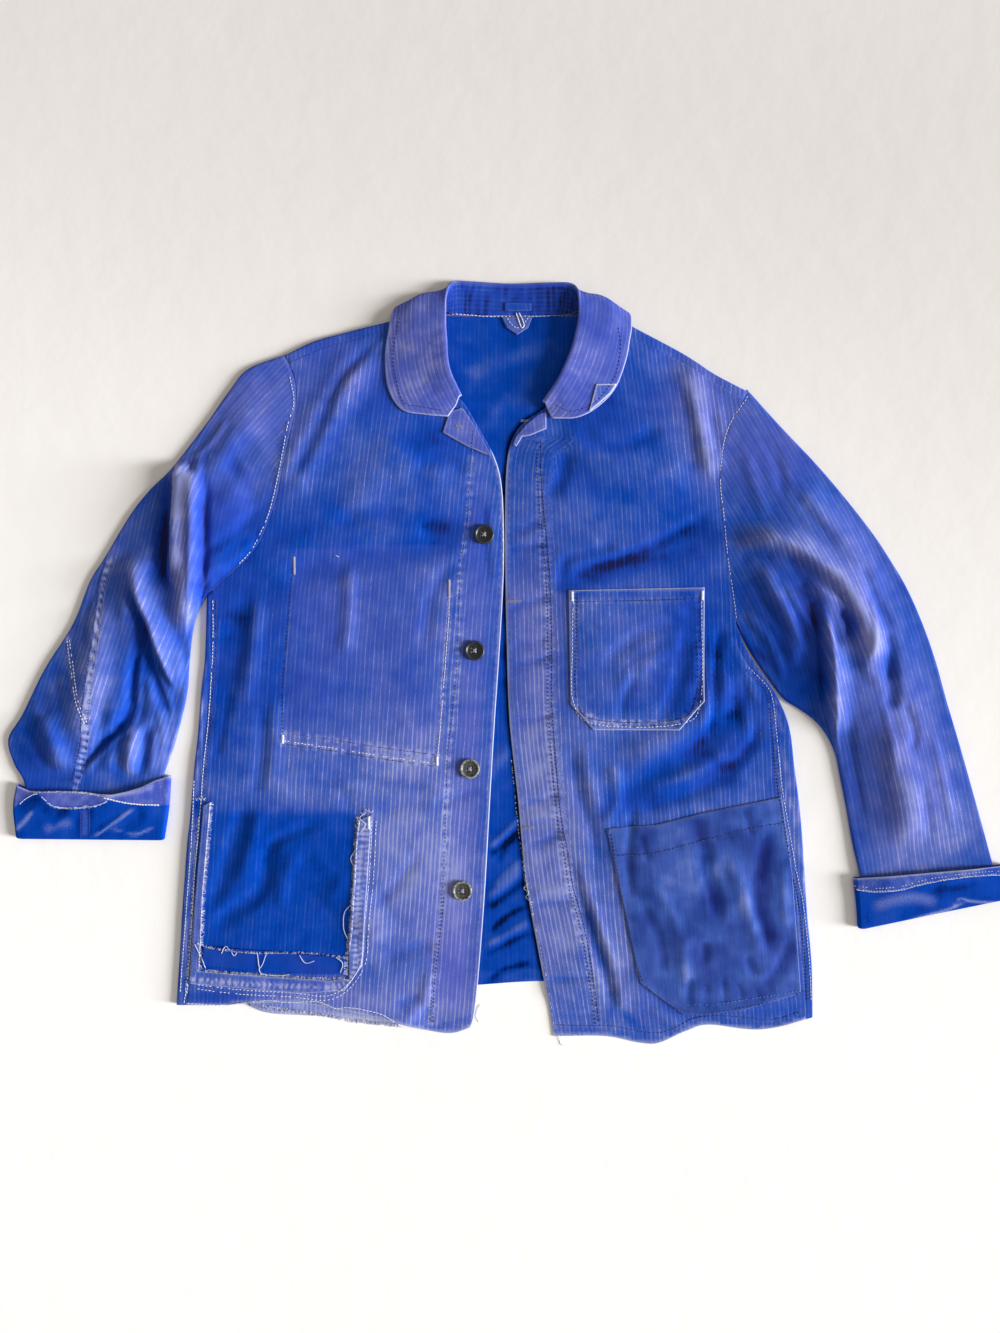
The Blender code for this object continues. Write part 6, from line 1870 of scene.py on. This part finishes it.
def tube(path, radius, sides=6, taper=None):
    """Points and faces of a closed tube along a path, its ends drawn in."""
    path = np.asarray(path, float)
    along = np.gradient(path, axis=0)
    along /= np.maximum(np.linalg.norm(along, axis=1), 1e-9)[:, None]
    side = np.cross(along, (0.0, 0.0, 1.0))
    flat = np.linalg.norm(side, axis=1) < 1e-3
    side[flat] = (1.0, 0.0, 0.0)
    side /= np.linalg.norm(side, axis=1)[:, None]
    up = np.cross(side, along)
    turn = 2 * math.pi * np.arange(sides) / sides
    radii = np.full(len(path), radius) if taper is None else radius * np.asarray(taper)
    rings = path[:, None] + radii[:, None, None] * (
        side[:, None] * np.cos(turn)[None, :, None] + up[:, None] * np.sin(turn)[None, :, None])
    points = np.vstack([rings.reshape(-1, 3), path[:1], path[-1:]])
    faces = quads(len(path), sides, ring=True)
    first, last = len(points) - 2, len(points) - 1
    end = (len(path) - 1) * sides
    faces += [(first, (k + 1) % sides, k) for k in range(sides)]
    faces += [(last, end + k, end + (k + 1) % sides) for k in range(sides)]
    return points, faces


def joined(name, parts, material):
    """One object from many small closed meshes."""
    points, faces, count = [], [], 0
    for part_points, part_faces in parts:
        points.append(part_points)
        faces += [tuple(i + count for i in f) for f in part_faces]
        count += len(part_points)
    return mesh_object(name, np.vstack(points), faces, material)


left = Front(SIDE_SEAM_L, FRONT_EDGE_L, SHOULDER_SEAM_L, ARMHOLE_L, grain_left, 0.0, LEFT_SEAMS, LEFT_FOLDS)
right = Front(SIDE_SEAM_R, FRONT_EDGE_R, SHOULDER_SEAM_R, ARMHOLE_R, grain_right, BAND, RIGHT_SEAMS,
              RIGHT_FOLDS)


def pocket_look(grain_of, stripe=1.0, fade_of=fade_and_painted_light_at, edge_wear=0.6):
    """What gives a sewn piece's Looks from its plan, the distance from its edge and its seams' wear."""
    def look_of(plan, from_edge, seam_wear):
        grain = grain_of(plan)
        fade = fade_of(plan) + 0.5 * seam_wear + 0.07 * noise(plan, 15, 91)
        wear = 0.16 * seam_wear + edge_wear * bell(from_edge / WORN_EDGE)
        return Look(grain, fade, wear, stripe, tint_at(plan)), inner_look(grain)
    return look_of


def lower_pocket_fade_and_shading(points):
    """The lower pocket's fading in soft patches, lighter on its folds' ridges, partly wear and partly painted
    highlight, and darker in the troughs, painted shade; pocket_look makes it lighter along its sewn edges.
    """
    relief = creases(points, LOWER_FOLDS)
    return 0.50 + 0.17 * noise(points, 36, 81) + 0.10 * noise(points, 12, 82) + 0.11 * relief


def make_hem_turning():
    """The frayed turning that hangs out from under the left front's hem."""
    outer = curve(HEM_TURNING, 2.5)
    inner = outer.copy()
    inner[:, 1] += past_back_hem(outer) - 2 * SEAM_GAP
    shares = np.linspace(0, 1, 6)[:, None, None]
    rows = inner + (outer - inner) * shares
    under_front = left.mid(inner) - CLOTH - LAYER_GAP
    heights = under_front + (BACK_MID - under_front) * smoothstep(shares[..., 0])
    rows = np.concatenate([rows, heights[..., None]], axis=2)
    points = rows.reshape(-1, 3)
    faces = oriented(points, quads(len(rows), len(outer)), points[len(points) // 2], (0, 0, 1))
    flat = points[:, :2]
    share = np.repeat(shares.ravel(), len(outer))
    fade = 0.85 + 0.1 * noise(flat, 12, 83)
    look = Look(grain_left(flat), fade, 0.5 * smoothstep((share - 0.6) / 0.4), 0.6)
    return cloth("hem_turning_cloth", points, faces, CLOTH, look, look, worn_cloth)


def flap_look_of(front):
    """The Looks of a turned-out corner and its rim's wear, pale only away from the front's own edge."""
    def off_edge(plan):
        return smoothstep((nearest(plan, front.edge)[0] - FLAP_WORN_FROM) / 3)

    def look_of(plan, from_edge, seam_wear):
        grain = front.grain(plan)
        wear = 0.6 * bell(from_edge / WORN_EDGE) * off_edge(plan)
        return Look(grain, 0.60 + 0.14 * noise(plan, 9, 85), wear, 0.7, 0.35), inner_look(grain)

    return look_of, lambda plan: 0.9 * off_edge(plan)


def patchy(base, share, size, seed):
    """A fade that wanders about a base value."""
    return lambda points: base + share * noise(points, size, seed)


sleeve_left, end_left = make_sleeve("sleeve_left_cloth", SLEEVE_L, ARMHOLE_L, -1, SLEEVE_L_FOLDS,
                                    SLEEVE_L_SEAMS)
sleeve_right, end_right = make_sleeve("sleeve_right_cloth", SLEEVE_R, ARMHOLE_R, 1, SLEEVE_R_FOLDS, [])
pieces = {
    "front_left": make_front("front_left_cloth", left, FRONT_HEM_L, FRONT_EDGE_L, FRONT_NECK_L,
                             left_front_look),
    "front_right": make_front("front_right_cloth", right, FRONT_HEM_R, FRONT_EDGE_R, FRONT_NECK_R),
    "back_panel": make_back(left, right),
    "sleeve_left": sleeve_left,
    "sleeve_right": sleeve_right,
    "cuff_left": make_cuff("cuff_left_cloth", CUFF_L, end_left, (0.0, -1.0), 0.34, CUFF_HEM_L, CUFF_EDGE_L),
    "cuff_right": make_cuff("cuff_right_cloth", CUFF_R, end_right, (0.17, -0.985), 0.10, CUFF_HEM_R),
    "collar": make_collar(left, right),
    "chest_pocket": make_sewn("chest_pocket_cloth", right.top, CHEST_POCKET, POCKET_CLOTH,
                              pocket_look(grain_right), POCKET_PUFF, CHEST_SEAMS, CHEST_FOLDS),
    "lower_pocket": make_sewn("lower_pocket_cloth", right.top, LOWER_POCKET, POCKET_CLOTH,
                              pocket_look(grain_right, 0.0, lower_pocket_fade_and_shading, 0.12), POCKET_PUFF,
                              LOWER_SEAMS, LOWER_FOLDS, material=pocket_cloth),
    "pocket_remnant": make_sewn("pocket_remnant_cloth", left.top, REMNANT, POCKET_CLOTH,
                                pocket_look(grain_left, 0.5, patchy(0.55, 0.16, 9, 84), 0.45),
                                seams=REMNANT_SEAMS, step=SMALL_STEP, rim=0.5),
    "pocket_base": make_sewn("pocket_base_cloth", left.top, POCKET_BASE, POCKET_CLOTH,
                             pocket_look(grain_left, 0.5, patchy(0.06, 0.08, 10, 82), 0.0),
                             step=SMALL_STEP, rim=0.0, material=inner_cloth),
    "hanger_tab": make_sewn("hanger_tab_cloth", lambda p: back_mid(p) + CLOTH / 2, HANGER_TAB, TAB_CLOTH,
                            pocket_look(grain_back, 0.3, patchy(0.55, 0.1, 6, 86), 0.15), step=1.8, rim=0.3),
    "hem_turning": make_hem_turning(),
}
for name, front, outline in (("corner_left", left, CORNER_L), ("corner_right", right, CORNER_R)):
    look_of, rim = flap_look_of(front)
    pieces[name] = make_sewn(name + "_cloth", front.top, outline, CLOTH, look_of, step=2.2, rim=rim)
for number, (centre, lean) in enumerate(zip(BUTTON_CENTRES, BUTTON_LEAN), 1):
    pieces[f"button_{number}"] = make_button(f"button_{number}_disc", centre, left,
                                             button_dark if number < 3 else button_grey, lean)
for node, obj in pieces.items():
    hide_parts(node)


class Surface:
    """The finished surface from above, for small things that lie on it."""

    def __init__(self, objects):
        verts, faces = [], []
        for obj in objects:
            start = len(verts)
            verts += [v.co / MM for v in obj.data.vertices]
            faces += [[start + i for i in polygon.vertices] for polygon in obj.data.polygons]
        self.tree = BVHTree.FromPolygons(verts, faces)

    def top(self, points):
        """Heights at plan points; the floor where there is no cloth."""
        heights = []
        for x, y in np.asarray(points, float)[:, :2]:
            hit = self.tree.ray_cast(Vector((x, y, 80.0)), Vector((0, 0, -1)))[0]
            heights.append(hit.z if hit else 0.0)
        return np.array(heights)


# A stitch's heights over the cloth at shares of its length, and the same across a bar tack and an
# overcast edge
STITCH_SHARES = np.array([0.0, 0.22, 0.5, 0.78, 1.0])
STITCH_PROFILE = [-0.30, 0.20, 0.30, 0.22, -0.30]
TACK_PROFILE = [-0.2, 0.34, 0.46, 0.34, -0.2]
OVERCAST_PROFILE = [-0.1, 0.3, 0.3, -0.2]
STITCH_RADIUS = 0.36
TACK_PITCH = 0.62
OVERCAST_PITCH = 0.75
OVERCAST_RADIUS = 0.33
LOOSE_THREAD_RADIUS = 0.32
SLIT_SHADE_RADIUS = 0.26
HANGER_LOOP_RADIUS = 0.6


def stitches(surface, row, seed):
    """A row's stitches as small tubes that dip into the cloth at both ends."""
    random = np.random.default_rng(seed)
    line = even(spline(row.path, 5), 0.8)
    whole = lengths(line)[-1]
    starts = np.arange(0.5, whole - row.length, row.length + row.gap)
    starts = starts[random.uniform(size=len(starts)) > row.skipped]
    made = []
    ways = normals_2d(line)
    at = lengths(line)
    for start in starts:
        length = row.length * random.uniform(0.8, 1.1)
        along = start + length * STITCH_SHARES
        middle = points_at(line, along)
        way = np.array([np.interp(start, at, ways[:, k]) for k in (0, 1)])
        wander = random.uniform(-0.16, 0.16) + np.linspace(-0.1, 0.1, 5) * random.uniform(-1, 1)
        plan = middle + way * (row.shift + wander)[:, None]
        heights = surface.top(plan)
        if heights.min() < 0.5:
            continue
        made.append(tube(np.column_stack([plan, heights + STITCH_PROFILE]), STITCH_RADIUS, 5))
    return made


def bar_tack(surface, ends, width, seed):
    """A bar of close cross stitches over a short line."""
    random = np.random.default_rng(seed)
    a, b = np.array(ends, float)
    way = (b - a) / np.linalg.norm(b - a)
    side = np.array([-way[1], way[0]])
    made = []
    count = int(np.linalg.norm(b - a) / TACK_PITCH)
    for k in range(count + 1):
        middle = a + (b - a) * k / count
        reach = width / 2 * random.uniform(0.8, 1.15)
        plan = np.array([middle + side * reach * t + way * 0.25 * t for t in (-1, -0.5, 0, 0.5, 1)])
        heights = surface.top(plan)
        made.append(tube(np.column_stack([plan, heights + TACK_PROFILE]), STITCH_RADIUS, 5))
    return made


def threads(surface, paths, seed):
    """Loose threads that lie on the cloth."""
    random = np.random.default_rng(seed)
    made = []
    for path in paths:
        line = even(spline(path, 6), 1.2)
        heights = surface.top(line)
        heights = np.maximum(heights, np.minimum(np.roll(heights, 1), heights.max())) + 0.25
        heights += 0.5 * np.abs(np.sin(np.linspace(0, random.uniform(3, 7), len(line))))
        taper = np.concatenate([[0.5], np.full(len(line) - 2, 1.0), [0.4]])
        made.append(tube(np.column_stack([line, heights]), LOOSE_THREAD_RADIUS, 5, taper))
    return made


def fringe(surface, fray, seed):
    """Short yarn ends that stand out of a raw edge."""
    random = np.random.default_rng(seed)
    line = even(spline(fray.path, 5), 1.0)
    away = -normals_2d(line)
    at = lengths(line)
    made = []
    for place in np.sort(random.uniform(0, at[-1], int(at[-1] * fray.density))):
        start = points_at(line, [place])[0]
        out = np.array([np.interp(place, at, away[:, k]) for k in (0, 1)])
        side = np.array([-out[1], out[0]])
        reach = fray.reach * random.uniform(0.25, 1.0)
        lean, curl = random.uniform(-0.8, 0.8), random.uniform(-0.9, 0.9)
        t = np.linspace(0, 1, 6)[:, None]
        plan = start + out * (reach * t - 0.8) + side * reach * (lean * t + curl * t * t * 0.7)
        heights = surface.top(plan) + 0.22 + 0.5 * random.uniform(0, 1) * np.sin(t[:, 0] * 3)
        radius = random.uniform(0.18, 0.30)
        made.append(tube(np.column_stack([plan, heights]), radius, 4, np.linspace(1, 0.6, 6)))
    return made


def buttonhole(surface, ends, seed):
    """The two sides of a buttonhole's overcast edge: cross stitches on each side of a slit, and a near-black
    tube in the slit that is painted shade.
    """
    random = np.random.default_rng(seed)
    a, b = np.array(ends, float)
    way = (b - a) / np.linalg.norm(b - a)
    side = np.array([-way[1], way[0]])
    edge = []
    count = int(np.linalg.norm(b - a) / OVERCAST_PITCH)
    for k in range(count + 1):
        middle = a + (b - a) * k / count
        for turn in (-1, 1):
            reach = random.uniform(0.9, 1.3)
            plan = np.array([middle + side * turn * d for d in (0.15, 0.4, 0.7, reach)])
            heights = surface.top(plan)
            edge.append(tube(np.column_stack([plan, heights + OVERCAST_PROFILE]), OVERCAST_RADIUS, 5))
    slit = np.array([a + (b - a) * t for t in np.linspace(0, 1, 8)])
    dark = tube(np.column_stack([slit, surface.top(slit) - 0.05]), SLIT_SHADE_RADIUS)
    return edge, dark


surface = Surface(pieces.values())


def spread(surface, outline, fade, name, rim):
    """A small extra layer of cloth that lies on what is under it."""
    look_of = pocket_look(grain_right, 0.5, lambda p: np.full(len(p), fade), rim)
    return make_sewn(name, surface.top, outline, PATCH_CLOTH, look_of, step=1.6, rim=rim)


tip = spread(surface, TURNED_TIP, 0.62, "collar_turned_tip", 0.9)
patch = spread(surface, LOOP_PATCH, 0.30, "hanger_patch", 0.1)
surface = Surface([obj for obj in bpy.data.objects if obj.type == "MESH"])

white, blue, grey, dark, faded = [], [], [], [], []
for parts, rows, seed in ((white, WHITE_ROWS, 0), (faded, FADED_ROWS, 90), (blue, BLUE_ROWS, 100)):
    for number, row in enumerate(rows):
        parts += stitches(surface, row, seed + number)
for parts, tacks, seed in ((grey, BAR_TACKS_GREY, 200), (white, BAR_TACKS_WHITE, 220)):
    for number, (ends, width) in enumerate(tacks):
        parts += bar_tack(surface, ends, width, seed + number)
for number, ends in enumerate(BUTTONHOLES):
    edge, slit = buttonhole(surface, ends, 240 + number)
    grey += edge
    # The slit's near-black tube, painted shade
    dark.append(slit)
for number, fray in enumerate(FRAYS):
    white += fringe(surface, fray, 260 + number)
    faded += fringe(surface, fray, 280 + number)
white += threads(surface, LOOSE_THREADS, 300)
loop_line = even(spline(HANGER_LOOP, 6), 1.2)
white.append(tube(np.column_stack([loop_line, surface.top(loop_line) + 0.5]), HANGER_LOOP_RADIUS, 8))
for name, parts, thread in (("white_stitching", white, white_thread), ("blue_stitching", blue, blue_thread),
                            ("frayed_yarn", faded, faded_thread), ("bar_tacks", grey, grey_thread),
                            ("buttonhole_slits", dark, slit_shade_thread)):
    joined(name, parts, thread)


def make_floor():
    """The pale paper that the jacket lies on, darker towards the top and the right: painted light falloff."""
    side = FLOOR_HALF
    points = [(-side, -side, 0), (side, -side, 0), (side, side, 0), (-side, side, 0)]
    mesh = bpy.data.meshes.new("floor")
    mesh.from_pydata(points, [], [(0, 1, 2, 3)])
    n = Nodes("paper", 0.9)
    place = n.tree.nodes.new("ShaderNodeTexCoord").outputs["Object"]
    x, y, _ = n.split(place)
    # Painted light falloff, with a soft mottle
    down = n.step(n.madd(x, 0.16, y), 0.72, -0.42)
    painted_falloff = n.madd(n.minus(n.noise(place, 3.2, 3.0), 0.5), 0.22, down)
    n.put(n.shader.inputs["Base Color"], n.ramp(n.clamp(painted_falloff), PAPER_WITH_PAINTED_FALLOFF))
    n.bump(n.noise(place, 26.0, 4.0), 0.25, 0.002)
    mesh.materials.append(n.material)
    floor = bpy.data.objects.new("floor", mesh)
    bpy.context.scene.collection.objects.link(floor)


def add_sun(name, way, power, angle):
    """A soft distant window: way is the direction that its light comes from."""
    data = bpy.data.lights.new(name, "SUN")
    data.energy = power
    data.angle = math.radians(angle)
    data.color = DAYLIGHT
    lamp = bpy.data.objects.new(name, data)
    lamp.rotation_mode = "QUATERNION"
    lamp.rotation_quaternion = (-Vector(way)).to_track_quat("-Z", "Y")
    bpy.context.scene.collection.objects.link(lamp)


def make_camera():
    """The photograph's view: straight down, the long side of the frame upright."""
    data = bpy.data.cameras.new("camera")
    data.sensor_fit = "AUTO"
    data.sensor_width = SENSOR
    data.lens = LENS
    camera = bpy.data.objects.new("camera", data)
    middle = px((PHOTO_SIZE[0] / 2, PHOTO_SIZE[1] / 2))[0]
    camera.location = (middle[0] * MM, middle[1] * MM, CAMERA_HEIGHT)
    bpy.context.scene.collection.objects.link(camera)
    bpy.context.scene.camera = camera


make_floor()
add_sun("window", SUN_FROM, SUN_POWER, SUN_ANGLE)
add_sun("low_window", LOW_SUN_FROM, LOW_SUN_POWER, LOW_SUN_ANGLE)
make_camera()
world = bpy.data.worlds.new("room")
bpy.context.scene.world = world
world.use_nodes = True
background = world.node_tree.nodes["Background"]
background.inputs["Color"].default_value = ROOM_COLOUR
background.inputs["Strength"].default_value = ROOM_LIGHT
bpy.context.scene.view_settings.view_transform = "Standard"
